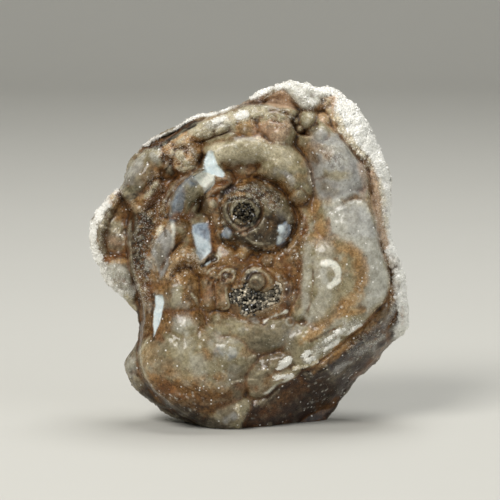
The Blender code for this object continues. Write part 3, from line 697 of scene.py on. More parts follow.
    def rim(self, angle: Array) -> tuple[Array, Array]:
        """The silhouette.

        Args:
            angle: directions round the face's middle, in radians.

        Returns:
            The distance from the middle, and the rim line's height.
        """
        points = np.array(OUTLINE)
        du, dv = points[:, 0] - self.middle[0], points[:, 1] - self.middle[1]
        turns = np.arctan2(dv, du)
        order = np.argsort(turns)
        lengths = np.hypot(du, dv)[order]
        spread = np.radians((-1.0, 0.0, 1.0))
        full = 2.0 * math.pi
        radius = sum(np.interp(angle + turn, turns[order], lengths, period=full) for turn in spread) / 3.0
        return radius, np.interp(angle, turns[order], points[order, 2], period=full)

    def points(self, directions: Array, front_share: float) -> tuple[Array, Array]:
        """Moves the points of a unit ball to the stone's surface.

        Args:
            directions: (n, 3) unit vectors, with +z out of the face.
            front_share: the share of the ball that becomes the front.

        Returns:
            (n, 3) points of the face frame, and how far each is past the rim, from below 0 in front to 1.
        """
        angle = np.arctan2(directions[:, 1], directions[:, 0])
        down = (1.0 - directions[:, 2]) / 2.0
        front = down < front_share
        share = np.where(front, down / front_share, (1.0 - down) / (1.0 - front_share))
        out = np.sqrt(np.clip(share, 0.0, 1.0))
        radius, rim = self.rim(angle)
        mean = float(radius.mean())
        reach = out * (mean + (radius - mean) * out**2)
        outward = np.stack([np.cos(angle), np.sin(angle)], axis=1)
        at = self.middle + reach[:, None] * outward
        before = self.join(self.front(at), rim + self.least_rim, self.crease)
        behind = -self.join(-self.back(at), self.least_rim - rim, self.crease)
        surface = np.where(front, before, behind)
        rounding = np.sqrt(np.clip(1.0 - out**self.rim_rounding, 0.0, 1.0))
        places = raised(at, rim + (surface - rim) * rounding)
        cell, height = self.bulk
        places[:, 2] += height * Noise.fractal(places, cell, 3, 5)
        cell, height = self.ragged_rim
        edge = step((out - 1.0 + self.rim_band) / self.rim_band)
        places[:, :2] += (height * edge * Noise.fractal(places, cell, 3, 9))[:, None] * outward
        return places, (down - front_share) / (1.0 - front_share)


@dataclass(frozen=True)
class Tint:
    """One tint of the stone: its darker and lighter colour, roughness, graininess and share of glints."""

    dark: Colour
    light: Colour
    roughness: float
    grain: float
    glints: float


class Tone(Enum):
    """The stone's named tints."""

    BEIGE = Tint((118, 108, 80), (162, 152, 122), 0.22, 0.15, 0.45)
    STRAW = Tint((158, 148, 120), (196, 186, 158), 0.30, 0.45, 0.6)
    PEARL = Tint((158, 155, 142), (198, 196, 184), 0.24, 0.15, 0.35)
    LAVENDER = Tint((134, 132, 128), (172, 172, 168), 0.22, 0.1, 0.2)
    SMOKE = Tint((92, 82, 64), (132, 120, 98), 0.24, 0.25, 0.3)
    MOSS = Tint((72, 66, 48), (118, 111, 88), 0.22, 0.4, 0.5)
    BLUE = Tint((106, 120, 138), (164, 180, 196), 0.14, 0.05, 0.1)
    HAZE = Tint((80, 88, 96), (128, 136, 142), 0.14, 0.1, 0.2)
    BARE = Tint((206, 222, 226), (238, 246, 244), 0.40, 0.05, 0.0)
    IVORY = Tint((226, 226, 210), (244, 242, 230), 0.40, 0.2, 0.1)
    FROST = Tint((206, 204, 194), (246, 245, 238), 0.45, 0.9, 0.9)
    NICHE = Tint((158, 130, 104), (206, 178, 148), 0.34, 0.4, 0.4)
    CREAM = Tint((188, 176, 148), (230, 218, 190), 0.36, 0.7, 0.6)
    TAN = Tint((130, 98, 58), (180, 142, 94), 0.30, 0.5, 0.5)
    PINK = Tint((134, 104, 80), (182, 150, 122), 0.30, 0.5, 0.5)
    BROWN = Tint((68, 47, 26), (118, 89, 54), 0.28, 0.45, 0.5)
    AMBER = Tint((86, 59, 29), (146, 107, 60), 0.28, 0.5, 0.7)
    RUST = Tint((68, 38, 16), (128, 83, 42), 0.30, 0.5, 0.4)
    UMBER = Tint((32, 22, 13), (70, 52, 32), 0.36, 0.7, 0.35)
    SLATE = Tint((32, 21, 16), (62, 46, 38), 0.36, 0.7, 0.5)
    INK = Tint((16, 14, 12), (44, 38, 30), 0.20, 0.6, 0.35)
    # Painted shade: near-black laid into the deepest crevices and under the lobes, where shade falls
    CREVICE_SHADE = Tint((14, 12, 9), (42, 34, 24), 0.85, 1.0, 0.0)


# The tints by their own names, in the order above
(
    BEIGE, STRAW, PEARL, LAVENDER, SMOKE, MOSS, BLUE, HAZE, BARE, IVORY, FROST, NICHE, CREAM, TAN, PINK,
    BROWN, AMBER, RUST, UMBER, SLATE, INK, CREVICE_SHADE,
) = Tone


def arc(middle: Pair, radius: float, start: int, end: int, squeeze: float = 1.0) -> Corners:
    """A round line.

    Args:
        middle: its centre.
        radius: its radius.
        start: direction of its first point, in degrees, counter-clockwise from the right.
        end: direction of its last point.
        squeeze: its height over its width.

    Returns:
        The line.
    """
    turns = np.radians(np.linspace(start, end, max(3, abs(end - start) // 24)))
    u, v = middle
    return tuple((u + radius * math.cos(turn), v + radius * squeeze * math.sin(turn)) for turn in turns)


@dataclass(frozen=True)
class Mark:
    """A painted line: its tone, half its width, its places, soft edge, share, ragged edge and height."""

    tone: Tone
    half: float
    line: Corners
    soft: float = 0.5
    share: float = 1.0
    ragged: float = 0.2
    lift: float = 0.0

    def mask(self, at: Array, warp: Array) -> tuple[Array, Array]:
        """Where the paint goes.

        Args:
            at: (n, 2) places on the face.
            warp: a random value for every place, about -1 to 1.

        Returns:
            Indices of the painted places, and their shares.
        """
        near = around(self.line, at, self.half + self.soft + self.ragged)
        distance, _ = nearest(flat(self.line), at[near])
        depth = self.half - distance + self.ragged * warp[near]
        worn = np.clip(0.95 + 0.6 * warp[near], 0.3, 1.0)
        return near, self.share * worn * step(depth / self.soft + 0.5)


@dataclass(frozen=True)
class Cloud:
    """Clouds of paint over the front mass: their tone, size, threshold, contrast, share and a salt."""

    tone: Tone
    cell: float
    least: float
    contrast: float
    share: float
    salt: int
    lift: float = 0.0

    def mask(self, at: Array, warp: Array) -> tuple[Array, Array]:
        """Where the paint goes. See the mask of Mark."""
        near = np.flatnonzero(depth_inside(FRONT_EDGE, at) > 0.0)
        value = Noise.fractal(raised(at[near]), self.cell, 4, self.salt) + 0.1 * warp[near]
        return near, self.share * step((value - self.least) * self.contrast)


@dataclass(frozen=True)
class Patch:
    """Paint inside a closed outline: its tone, corners, soft edge, share, ragged edge and height."""

    tone: Tone
    corners: Corners
    soft: float = 0.5
    share: float = 1.0
    ragged: float = 0.2
    lift: float = 0.0

    def mask(self, at: Array, warp: Array) -> tuple[Array, Array]:
        """Where the paint goes. See the mask of Mark."""
        near = around(self.corners, at, self.soft + self.ragged)
        depth = depth_inside(self.corners, at[near]) + self.ragged * warp[near]
        return near, self.share * step(depth / self.soft + 0.5)


Marks = tuple[Mark | Patch | Cloud, ...]

# Paint of the front, from the broad ground tints up to the small marks
GROUND: Marks = (
    # The plate behind: wing, rim, dark side and underside
    Patch(SMOKE, ((-27.5, 31), (-26, 37), (-21, 41.5), (-19, 46), (-17, 44), (-18, 30), (-18, 20), (-21, 21),
        (-25, 25)), 1.5),
    Mark(FROST, 0.7, ((-22.2, 40), (-24.6, 37), (-26.2, 34.6), (-26.5, 31.6), (-25.6, 28.8), (-24.4, 26.6),
        (-23, 24.2), (-20.8, 22.2)), 0.9, 0.85, 0.45),
    Patch(SLATE, ((-3, -2), (0.6, 4.4), (4.6, 7.4), (8.8, 10.2), (12.8, 11.8), (18, 15.8), (21.6, 19.2),
        (24.2, 23.4), (25.2, 21), (27.5, 16), (19, 7.5), (12, -3)), 0.9),
    Patch(UMBER, ((-19, 7.6), (-17.6, 8.6), (-13.4, 4.6), (-8, 1.8), (-6, -2), (-12, 0), (-20.5, 5.6)), 0.9),
    # The front mass
    Patch(BEIGE, FRONT_EDGE, 0.5),
    Patch(AMBER, ((-20, 41), (-16, 42), (-14, 46), (-8, 49), (-7, 44), (-11, 41), (-10, 35), (-9, 34),
        (-9, 30), (-6, 28), (-6, 20), (-11, 18.5), (-16, 15), (-18.4, 16), (-18.5, 24), (-20.3, 32)), 1.4,
        0.9, 0.6),
    Cloud(PEARL, 2.6, 0.1, 3, 0.45, 111),
    Cloud(SMOKE, 3.2, 0.15, 3, 0.45, 121),
    Cloud(TAN, 2.2, 0.2, 4, 0.4, 131),
    Patch(LAVENDER, ((9.8, 49.4), (12, 50), (14.5, 49), (16.6, 46.6), (18.8, 44), (19.4, 42), (19.4, 39),
        (18, 38.8), (14, 37.8), (11.4, 38.6), (10.2, 41), (9.4, 44)), 1.6, 0.9, 0.5),
    Patch(PEARL, ((12, 37.2), (14, 38), (18, 38.8), (19.6, 37), (20.6, 34.4), (21, 31), (21.8, 28.6),
        (22.8, 26), (22.8, 22.6), (20.6, 20.6), (19, 19), (19, 24), (19, 27), (18, 30), (15, 31.6),
        (12.6, 31.6), (12.8, 34.5)), 1.6, 1, 0.5),
    Patch(SMOKE, ((-14, 5.5), (-5, 3), (0, 4.6), (4, 8), (7, 11), (8, 15), (7, 19), (-1, 18), (0, 12),
        (-4, 8.6), (-9, 6.4)), 2.4, 0.75, 0.6),
    Patch(AMBER, ((-8, 43), (-4, 43.4), (2, 43.4), (7, 41.6), (9, 38), (9.4, 32), (8.4, 26), (7.4, 19.6),
        (3, 18.4), (-4, 18.8), (-8, 20), (-8, 28), (-7, 34)), 1.8, 0.9, 0.7),
)

WING: Marks = (
    Mark(STRAW, 0.85, ((-24.2, 35.6), (-22.6, 34.8), (-21.8, 33.8)), 1, 0.8),
    Mark(TAN, 0.8, ((-22.6, 38.7), (-22, 37.2), (-21.9, 35.6)), 0.9),
    # Painted highlight: a pale streak on the wing
    Mark(CREAM, 0.3, ((-22.9, 39.2), (-22.5, 38.2)), 0.6, 0.8),
    Mark(RUST, 0.75, ((-20.9, 38.2), (-20.6, 36), (-20.6, 34.2)), 0.9),
    Mark(INK, 0.3, ((-21.2, 38.8), (-20.6, 37.4), (-19.9, 36.2)), 0.5, 0.9, 0.2, -0.4),
    Mark(CREAM, 0.15, ((-24.9, 34), (-23.4, 33.5), (-22.2, 33), (-21.3, 32.4), (-20.7, 31.5), (-20.4, 31.1)),
        0.3, 0.8, 0.1, 0.15),
    Mark(PINK, 0.8, ((-23.6, 31.8), (-22, 31.2)), 1.2, 0.5),
    Mark(RUST, 0.7, ((-23.7, 28.5), (-22.6, 28.5), (-21.4, 28.9), (-20.3, 29.6), (-19.6, 30.2)), 0.7),
    Mark(TAN, 0.25, ((-23, 28), (-20.4, 28.2)), 0.5),
    Mark(PEARL, 1.35, ((-22.6, 26.4), (-21, 25.4), (-19.9, 23.6)), 1, 0.95),
    Mark(STRAW, 0.65, ((-20.6, 22), (-19.4, 20.4)), 0.7),
    Mark(FROST, 0.5, ((-25.6, 28), (-26.4, 31), (-26.2, 34.6), (-24.9, 36.6)), 0.6, 1, 0.4),
    # The lower left lobes of the plate
    Mark(SMOKE, 1.5, ((-19.9, 10.6),), 1),
    Mark(SMOKE, 1.3, ((-18.9, 8),), 1),
    Mark(PEARL, 0.6, ((-19.8, 9.8), (-20, 11.6)), 0.9, 0.6, 0.5),
    # Painted shade: near-black in the crevice under the wing
    Mark(CREVICE_SHADE, 0.35, ((-18.9, 22.6), (-18.5, 20), (-18.4, 17), (-18.6, 14.4)), 0.5, 0.75, 0.3),
    Mark(UMBER, 0.45, ((-18.6, 22), (-18.2, 18.6), (-18.3, 15.4), (-18.6, 13.6)), 0.5, 0.9),
    Mark(UMBER, 0.25, ((-18.6, 9.2), (-18.2, 8.8), (-17.2, 7.4)), 0.4, 0.9),
)

UPPER_LEFT: Marks = (
    # The crevice along the top left and its pale rim
    Patch(FROST, ((-18.2, 47), (-17.4, 47.9), (-16.2, 48.7), (-15, 49.1), (-14.4, 49.2), (-15, 48.6),
        (-15.5, 48.2), (-16.3, 47.9), (-17.2, 47.3)), 0.5, 0.9, 0.15),
    Mark(FROST, 0.25, ((-14.6, 49.1), (-13.4, 49.7), (-12, 50.3), (-11, 51), (-10.2, 51.7), (-9.2, 52.2),
        (-8, 52.5), (-7, 52.5), (-6, 52.6), (-4.4, 53.2), (-3.2, 53.9), (-2.4, 54)), 0.35, 0.95, 0.12, 0.15),
    # The upper left lobe
    Mark(SMOKE, 1.65, ((-19.6, 41), (-18.6, 43.2), (-16.8, 44.6)), 1),
    Mark(LAVENDER, 0.8, ((-20.6, 41), (-19.6, 42.8), (-18.4, 44.2)), 1.2, 0.45, 0.6),
    Mark(PEARL, 0.55, ((-21, 40.6), (-20.5, 42.8), (-19.4, 44.6), (-17.4, 45.5)), 1, 0.8, 0.6),
    Mark(PEARL, 0.65, ((-16.2, 45.6), (-15.4, 45)), 0.7, 0.85),
    Mark(BROWN, 0.35, ((-19.4, 45.2), (-18.2, 46.2)), 0.5),
    Mark(BROWN, 0.9, ((-17.2, 42), (-16.2, 43.2)), 0.9, 0.8),
    Mark(TAN, 0.3, ((-15.6, 43.4), (-15.2, 42.4)), 0.4),
    Mark(MOSS, 0.7, ((-20.4, 40.2), (-19.2, 39.7), (-17.6, 40.2)), 0.7),
    Mark(UMBER, 0.4, ((-20.6, 38.8), (-19.4, 38.7), (-17.6, 39.6), (-16.2, 41.2)), 0.5, 0.9, 0.2, -0.2),
    Mark(STRAW, 0.35, ((-17.2, 38.7), (-16.2, 39.7), (-15.4, 41)), 0.4, 1, 0.3, 0.25),
    Mark(RUST, 0.85, ((-16.8, 37.8), (-15.6, 38.4), (-14.6, 39.4), (-14.2, 41)), 0.7),
    # The rough brown matrix beside it
    Patch(TAN, ((-14.4, 47.2), (-12.4, 48.9), (-9.6, 50.6), (-8, 49.4), (-7.6, 46.4), (-7.9, 43.6),
        (-9.4, 42.8), (-12.6, 41.6), (-14.6, 42.6), (-14.6, 45)), 0.6, 0.9, 0.4),
    Mark(STRAW, 0.7, ((-12.2, 46.2), (-11.2, 45.2), (-10.6, 44), (-11.8, 43.4)), 0.5, 0.9, 0.3, 0.2),
    Mark(STRAW, 0.35, ((-11.8, 42.6), (-10.4, 43.4), (-8.8, 43.6)), 0.4, 0.9, 0.3, 0.1),
    Mark(RUST, 0.75, ((-13.6, 44.4), (-13, 43.2), (-11.8, 42.2)), 0.6, 1, 0.5),
    Patch(RUST, ((-14.6, 45.2), (-13.8, 46.2), (-12.8, 45), (-12.5, 43.2), (-13.4, 41.8), (-14.8, 42.6)), 0.8,
        0.75, 0.6),
    Mark(UMBER, 0.95, ((-13.8, 44.4), (-13.2, 43.4)), 0.6, 1, 0.5, -0.2),
    Mark(UMBER, 0.15, ((-14.4, 46), (-14.1, 45), (-12.6, 44.9), (-14, 43.2), (-14.2, 42.4)), 0.35, 0.9, 0.15,
        -0.3),
    Mark(BROWN, 0.4, ((-11.4, 47), (-10.6, 46.4)), 0.5),
    Mark(BROWN, 0.45, ((-9.4, 46.4), (-8.6, 45), (-8.4, 44)), 0.5),
    Mark(STRAW, 0.45, ((-11.8, 47.7), (-10.6, 48.6), (-9.6, 49.4)), 0.7, 0.7, 0.4),
)

TOP: Marks = (
    # The rough band along the top
    Patch(STRAW, ((-10.4, 49.8), (-8.6, 51), (-5.4, 52.2), (-2.4, 53.2), (0.6, 53.8), (2.4, 53.6), (3, 52),
        (1.2, 51.2), (-2.4, 51), (-2.2, 49.4), (-5, 48.6), (-8.8, 48.6)), 0.7, 1, 0.4),
    Mark(PEARL, 0.7, ((-6.6, 50.6), (-4, 51.2), (-3.6, 49.9)), 0.8, 0.8, 0.4),
    Mark(FROST, 0.3, ((-5.8, 51.3), (-4.4, 51.8)), 0.5, 0.8, 0.3),
    Patch(FROST, ((-2.6, 52.4), (-1.6, 53), (-0.6, 52.9), (-0.4, 52.2), (-1, 51.7), (-2.2, 51.5)), 0.5, 0.9,
        0.3, 0.2),
    Mark(TAN, 0.15, ((-7.6, 51.5), (-6, 52), (-4.8, 52.5)), 0.4, 0.8),
    Patch(TAN, ((-2.6, 50.4), (-2, 51.1), (-0.6, 51.3), (1, 51.2), (2.4, 51.6), (3.2, 50.8), (2, 49.2),
        (0, 48.8), (-1.8, 49.2)), 0.8, 0.8, 0.4),
    Mark(BROWN, 0.45, ((-1.4, 49.8), (0.4, 50), (1.6, 49.6)), 0.7, 0.8),
    Mark(BROWN, 0.45, ((-9.6, 47.6), (-7.6, 47.3), (-5, 47.8), (-2.6, 48.4), (-1.2, 48.9)), 0.6, 0.9, 0.3),
    # Painted shade: near-black laid in the deep crevice along the top left
    Patch(CREVICE_SHADE, ((-17.9, 47.1), (-16.7, 47.8), (-15, 48.6), (-13.9, 49.7), (-11.7, 50.3), (-10.8, 51.1),
        (-9.4, 51.5), (-8.3, 51.4), (-9.4, 50.4), (-11.1, 49.3), (-12.2, 48.4), (-13.9, 47.6), (-15, 46.8),
        (-16.4, 46.6)), 0.4, 1, 0.3, -0.2),
    # The pale lobe under it
    Mark(STRAW, 1.45, ((-5.4, 46), (-2.2, 46.4), (0.8, 46.8), (3.6, 46.2), (6.2, 45)), 1.2, 1, 0.5),
    Mark(BROWN, 0.8, ((-4.6, 43.9), (-2.4, 43.6), (-0.4, 43.2), (1.2, 43.6)), 0.9, 0.8),
    Mark(RUST, 0.7, ((-5.4, 41.2), (-3.6, 41.8), (-1.8, 42.2), (0, 43)), 0.7, 0.8),
    Mark(UMBER, 0.15, ((1.7, 44), (0.8, 42.9), (-0.2, 42.1), (-1.2, 41.8), (-1.6, 41.1)), 0.35, 0.9, 0.1,
        -0.25),
    Mark(MOSS, 1, ((3, 41.6), (5.6, 42.8), (7.8, 41.4), (8.6, 39.2)), 1.2, 0.7, 0.6),
    Mark(LAVENDER, 0.45, ((4.6, 43), (6.6, 42.2), (7.4, 40.6)), 1, 0.6, 0.6),
    # The niches behind the top and the pale tongue between them
    Patch(NICHE, ((2.6, 54.2), (3.2, 55.4), (4.4, 56.3), (5.6, 56.5), (6.6, 55.6), (7.2, 54.2), (7.6, 53.2),
        (4.6, 53.6)), 0.5),
    Patch(PEARL, ((6, 56.6), (6.8, 55.6), (7.6, 54.3), (8.6, 53.5), (9.8, 53.3), (11, 53.8), (12.2, 55),
        (13.4, 56), (12, 57.6), (9, 58.4), (6, 58)), 0.6),
    Mark(FROST, 0.65, ((8.2, 56), (9.2, 54.8), (10.2, 54.4)), 1, 0.5),
    Mark(FROST, 0.65, ((0.4, 55.6), (2, 56.6), (3.8, 57.4), (6, 57.6), (8.4, 57.8), (10.4, 57.2),
        (12.4, 56.9), (14.4, 56.2), (16.2, 54.8)), 0.6, 1, 0.3),
    Patch(NICHE, ((11, 53.2), (12, 54.4), (13.4, 55.5), (14.8, 55.6), (14.9, 54.8), (13.9, 53.4),
        (13.9, 51.8), (14.3, 50.8), (13.8, 49.7), (12.8, 50.2), (11.4, 51.4)), 0.5),
    Mark(TAN, 0.9, ((11.6, 53), (12.8, 52.2), (13.6, 50.6)), 1, 1, 0.4),
    Mark(STRAW, 0.5, ((12.6, 54.4), (13.2, 52), (13.6, 50.4)), 0.9, 0.6, 0.6),
)

UPPER_RIGHT: Marks = (
    # The cavity with its beads, and the rough lobes beside it
    Patch(PINK, ((0.4, 51), (3.4, 51.8), (6.4, 51.6), (6.9, 49.8), (6, 48), (3, 47.6), (0.8, 48.8)), 1, 0.85,
        0.6),
    Mark(CREAM, 0.15, ((1.2, 48.5), (2.5, 48), (4, 47.6), (5.4, 47.6)), 0.3, 0.8, 0.1, 0.1),
    Mark(BROWN, 0.55, ((3.6, 53), (5.4, 52.8), (6.8, 51.6)), 0.7, 0.8, 0.3),
    # Painted shade: a dark arc round the inside of the cavity
    Mark(UMBER, 0.4, arc((9.2, 51.1), 1.9, 150, 350), 0.5, 1, 0.15),
    # The frosted crust on the right
    Patch(FROST, ((14.6, 55.6), (14, 53.2), (14.6, 51.4), (15.4, 49.2), (16.4, 47.4), (17.8, 46.2),
        (19.6, 45.6), (20.4, 44), (20.8, 42), (24, 41), (22.5, 46), (19.6, 52.5), (17, 56)), 0.7),
    Mark(FROST, 0.85, ((21.8, 43), (22.6, 40), (22.7, 37), (22.5, 34), (23.6, 31), (25, 27.6), (25.6, 23.4),
        (25.8, 19.4), (25.2, 17)), 0.9, 1, 0.4),
    Mark(CREAM, 0.3, ((14.2, 52.6), (15, 50.4), (16.2, 48.2), (17.8, 46.4), (19.6, 45.2), (20.6, 43)), 0.6,
        0.8, 0.3),
    Mark(CREAM, 0.5, ((21.2, 41.6), (21.8, 38.6), (22, 35.6), (22.2, 32.8)), 0.8, 0.8, 0.4),
    Patch(TAN, ((19.7, 41.2), (20.7, 41), (21.3, 39), (21.5, 36.6), (20.4, 35.8), (19.9, 38)), 0.8, 0.7, 0.5),
    Mark(NICHE, 0.7, ((20.4, 42.6), (20.7, 40.2), (20.9, 38), (21.4, 35), (21.9, 32.4), (22.6, 29.8),
        (23.6, 26.8)), 0.6, 1),
    Mark(CREAM, 0.5, ((14.5, 51.6), (15.6, 49.4), (17, 47.4), (18.8, 45.4)), 0.7, 1, 0.4),
    # The crevice between the front petals and the crust
    Mark(BROWN, 0.15, ((16.4, 47.1), (17.2, 45.4), (18.2, 44.8), (19.2, 44), (19.6, 42.2), (19.6, 39.4),
        (19.7, 37), (20.1, 36), (20.8, 33.8)), 0.5, 0.8, 0.3),
    # The upper right petal
    Mark(BROWN, 0.85, ((8.4, 48), (9.4, 46.4), (10.6, 44.8)), 1, 0.85),
    Mark(TAN, 0.9, ((9.6, 48.2), (11.4, 47), (13, 45.6)), 1.2, 0.45, 0.7),
    Mark(CREAM, 0.1, ((9.7, 43.8), (9.9, 42), (10, 41.3), (10.6, 40.3), (10.8, 39.6), (10.7, 38.9)), 0.3, 0.7,
        0.1, 0.15),
    Mark(PEARL, 0.8, ((13, 47.2), (14.6, 46.2), (16, 44.6)), 1.2, 0.6, 0.4),
    Mark(BEIGE, 0.55, ((12.5, 42.6), (14.4, 42.2), (16, 42.6)), 0.9, 0.8, 0.4),
    Mark(BROWN, 0.35, ((12.5, 42.3), (11.6, 41.6)), 0.8, 0.5),
    Mark(SMOKE, 0.75, ((12.4, 40.4), (13.9, 39.6)), 1, 0.7),
    Mark(PINK, 0.55, ((18.2, 44), (18.9, 42), (18.7, 39.4)), 0.9, 0.5),
    # The big pale petal under it, and the stains to its left
    Mark(LAVENDER, 1.4, ((15.6, 36), (17.4, 33.4)), 1.6, 0.5, 0.4),
    Mark(TAN, 1.05, ((10.4, 37.2), (11.4, 34.8), (11.8, 32), (12.6, 30)), 1.2, 0.85, 0.6),
    Mark(RUST, 0.2, ((10.6, 36.4), (12.6, 34.8), (13.4, 32.6), (12.8, 30.6)), 0.6, 0.5, 0.5),
    Mark(RUST, 0.55, ((8.4, 36), (8.9, 33.8), (8.6, 31.8)), 0.9, 0.8, 0.3),
    Mark(UMBER, 0.55, ((7.8, 37.2), (8.4, 34.2), (7.8, 31.4)), 1.2, 0.5, 0.6),
    Mark(TAN, 1, ((13.8, 31), (15.8, 30.4), (17.8, 28.6), (18.4, 25.6), (17.6, 22.8), (15.4, 20.8),
        (12.8, 18.8), (10.6, 17), (8.5, 15.2)), 1.4, 0.8, 0.6),
    Mark(AMBER, 0.5, ((15.4, 30.2), (17.6, 28), (17.9, 25.2), (16.4, 22), (13.4, 19.8)), 1, 0.4, 0.6),
    Mark(PEARL, 1, ((20.4, 32), (21, 28.6), (21.6, 25.4), (20.8, 23)), 1, 0.9, 0.4),
    Mark(PEARL, 1.1, ((20.8, 30), (21.4, 27), (21.2, 24.2)), 1.2, 0.8, 0.4),
    Mark(FROST, 0.9, ((25.4, 26), (26, 22), (26, 18), (25, 16)), 0.9, 0.9, 0.4),
    Mark(LAVENDER, 0.65, ((14.4, 36.6), (17.2, 37.4), (19.2, 35), (20, 32.4)), 1.2, 0.6, 0.5),
)

RIGHT: Marks = (
    # The soft rolls in the middle and the white crescent
    Mark(PEARL, 0.75, ((9.4, 30.4), (9.4, 27), (9.2, 23), (9.2, 20)), 0.9, 0.6, 0.3),
    Mark(BEIGE, 1.55, ((12.6, 29.6), (12.8, 24), (12.4, 20.4)), 1.2, 0.7, 0.3),
    Mark(PEARL, 1.3, ((12.2, 30.6), (12, 26), (12, 22), (10.6, 19.4)), 1.4, 0.5, 0.8),
    Mark(LAVENDER, 0.8, ((9.6, 18.2), (7.6, 16.4), (5, 15.4)), 1.2, 0.4, 0.8),
    Mark(SMOKE, 0.1, ((9.5, 18), (9.6, 20), (10.2, 22), (10.4, 25), (10.3, 28)), 0.4, 0.9, 0.1, -0.15),
    Mark(IVORY, 0.5, ((12, 27.7), (13, 27.9), (13.8, 27.6), (14.3, 26.9), (14.5, 26.1), (14.4, 25.2),
        (13.9, 24.5), (13.2, 24.1)), 0.35, 0.9, 0.15, 0.25),
    Mark(PEARL, 0.45, ((12, 26.6), (12.4, 24.8)), 0.6, 0.8),
    Mark(RUST, 0.45, ((8.2, 28), (8.2, 24), (7.9, 20.6)), 0.8, 0.7),
    Mark(RUST, 0.8, ((5.9, 27), (6.3, 24), (5.7, 20.8)), 1, 1, 0.5),
    Mark(UMBER, 0.5, ((6.2, 26), (6.3, 23.6), (6, 21.4)), 1, 0.7, 0.5),
    # The rough roll along the ledge and the ledge's pale edge
    Patch(PEARL, ((8.6, 12), (9.4, 13.2), (10.8, 14.8), (12.6, 15.4), (13.6, 16.2), (15, 17), (16, 18.3),
        (17.4, 18.8), (18.8, 18.6), (19.4, 18.2), (18, 17), (16.4, 16), (15, 15.2), (13.4, 14), (11.6, 12.6),
        (10.4, 11.8), (9.2, 11.2)), 0.7, 0.7, 0.4),
    Mark(FROST, 0.15, ((8.9, 12.6), (11, 14), (13, 15.4), (15.6, 16.9)), 0.4, 0.8, 0.4, 0.15),
    Mark(FROST, 0.15, ((9.6, 11.8), (12.4, 13.5), (15, 15.4), (18.4, 17.8)), 0.4, 0.8, 0.4, 0.15),
    Mark(UMBER, 0.1, ((10, 14.9), (12, 15.9), (13.8, 17)), 0.5, 0.7, 0.4, -0.2),
    Mark(TAN, 0.45, ((15.6, 19.4), (17.2, 19.8), (18.8, 20)), 0.8, 0.8, 0.3),
    Mark(BROWN, 0.3, ((18, 20.6), (19, 20.5)), 0.6, 0.7),
    Mark(CREAM, 0.15, ((23, 26.2), (23.1, 24), (23, 22.6), (22.4, 21.4), (21.4, 20.8), (20.6, 20)), 0.35, 0.8,
        0.3, 0.15),
    # The side below the ledge
    Mark(AMBER, 0.75, ((10.6, 10.4), (13, 11.8), (16, 14.2), (19.2, 17), (21.8, 19.6), (23.6, 22.4),
        (24, 24.6)), 0.6, 0.85, 0.3),
    Mark(TAN, 0.45, ((12.4, 12.2), (15, 14.1), (18.2, 16.8)), 0.6, 0.8, 0.3),
    Mark(CREAM, 0.2, ((7.2, 10.6), (8.6, 10.6), (10, 10.9), (11, 11.6)), 0.35, 0.9, 0.2, 0.2),
    Mark(INK, 0.25, ((11.4, 9.9), (14.2, 11.2), (17, 13.2), (19.8, 15.6)), 0.6, 0.8, 0.3, -0.2),
    Patch(BROWN, ((19.4, 16.8), (21.4, 18), (23.4, 20.6), (24.4, 20), (24.2, 17.6), (22.6, 16.4),
        (20.4, 15.8)), 0.7, 0.6, 0.3),
    Mark(LAVENDER, 0.45, ((22.4, 17.4), (23.3, 19), (23.8, 20.2)), 0.8, 0.55, 0.3),
    Mark(UMBER, 0.45, ((19.2, 15.2), (20.8, 16.2), (22, 16.8)), 0.6, 0.8, 0.3),
    Mark(SMOKE, 0.55, ((20, 14.4), (21.8, 15.2), (23, 16)), 0.7, 0.7, 0.4),
    Mark(FROST, 1.15, ((23.6, 29.4), (24.6, 26.6), (25.3, 23.6), (25.8, 20.6), (25.8, 17.4)), 0.8, 1, 0.4,
        0.3),
    Mark(PINK, 0.3, ((25.4, 20.4), (25.4, 17.8)), 0.6, 0.6, 0.3),
    Mark(PEARL, 0.4, ((25.3, 16.6), (23.6, 14.6), (21.4, 12.2)), 0.9, 0.6, 0.6),
    Mark(SMOKE, 0.85, ((13.4, 8.6), (17.4, 11.4), (21, 14.4)), 1.4, 0.5, 0.8),
    # Painted sheen: a lilac streak along the dark side
    Mark(LAVENDER, 0.3, ((14.6, 10), (18, 12.2), (21, 14.6), (24.2, 17.2)), 0.8, 0.6, 0.6),
    Mark(RUST, 0.95, ((1.6, 1.6), (4.6, 4.6), (8.2, 7.6)), 2, 0.45, 0.8),
    Mark(RUST, 0.45, ((-1, 0.6), (4, 0.4), (9, 0.6)), 1, 0.5, 0.6),
    Mark(RUST, 0.55, ((18, 8.8), (21, 11.6), (23.6, 14.2)), 1, 0.6, 0.4),
    Mark(BROWN, 0.9, ((2, 6), (3.4, 5), (5.6, 5.6)), 1.6, 0.4, 0.5),
    Mark(UMBER, 1.35, ((8, 6.2), (11.6, 5), (13.6, 7.4)), 2, 0.4, 0.6),
)

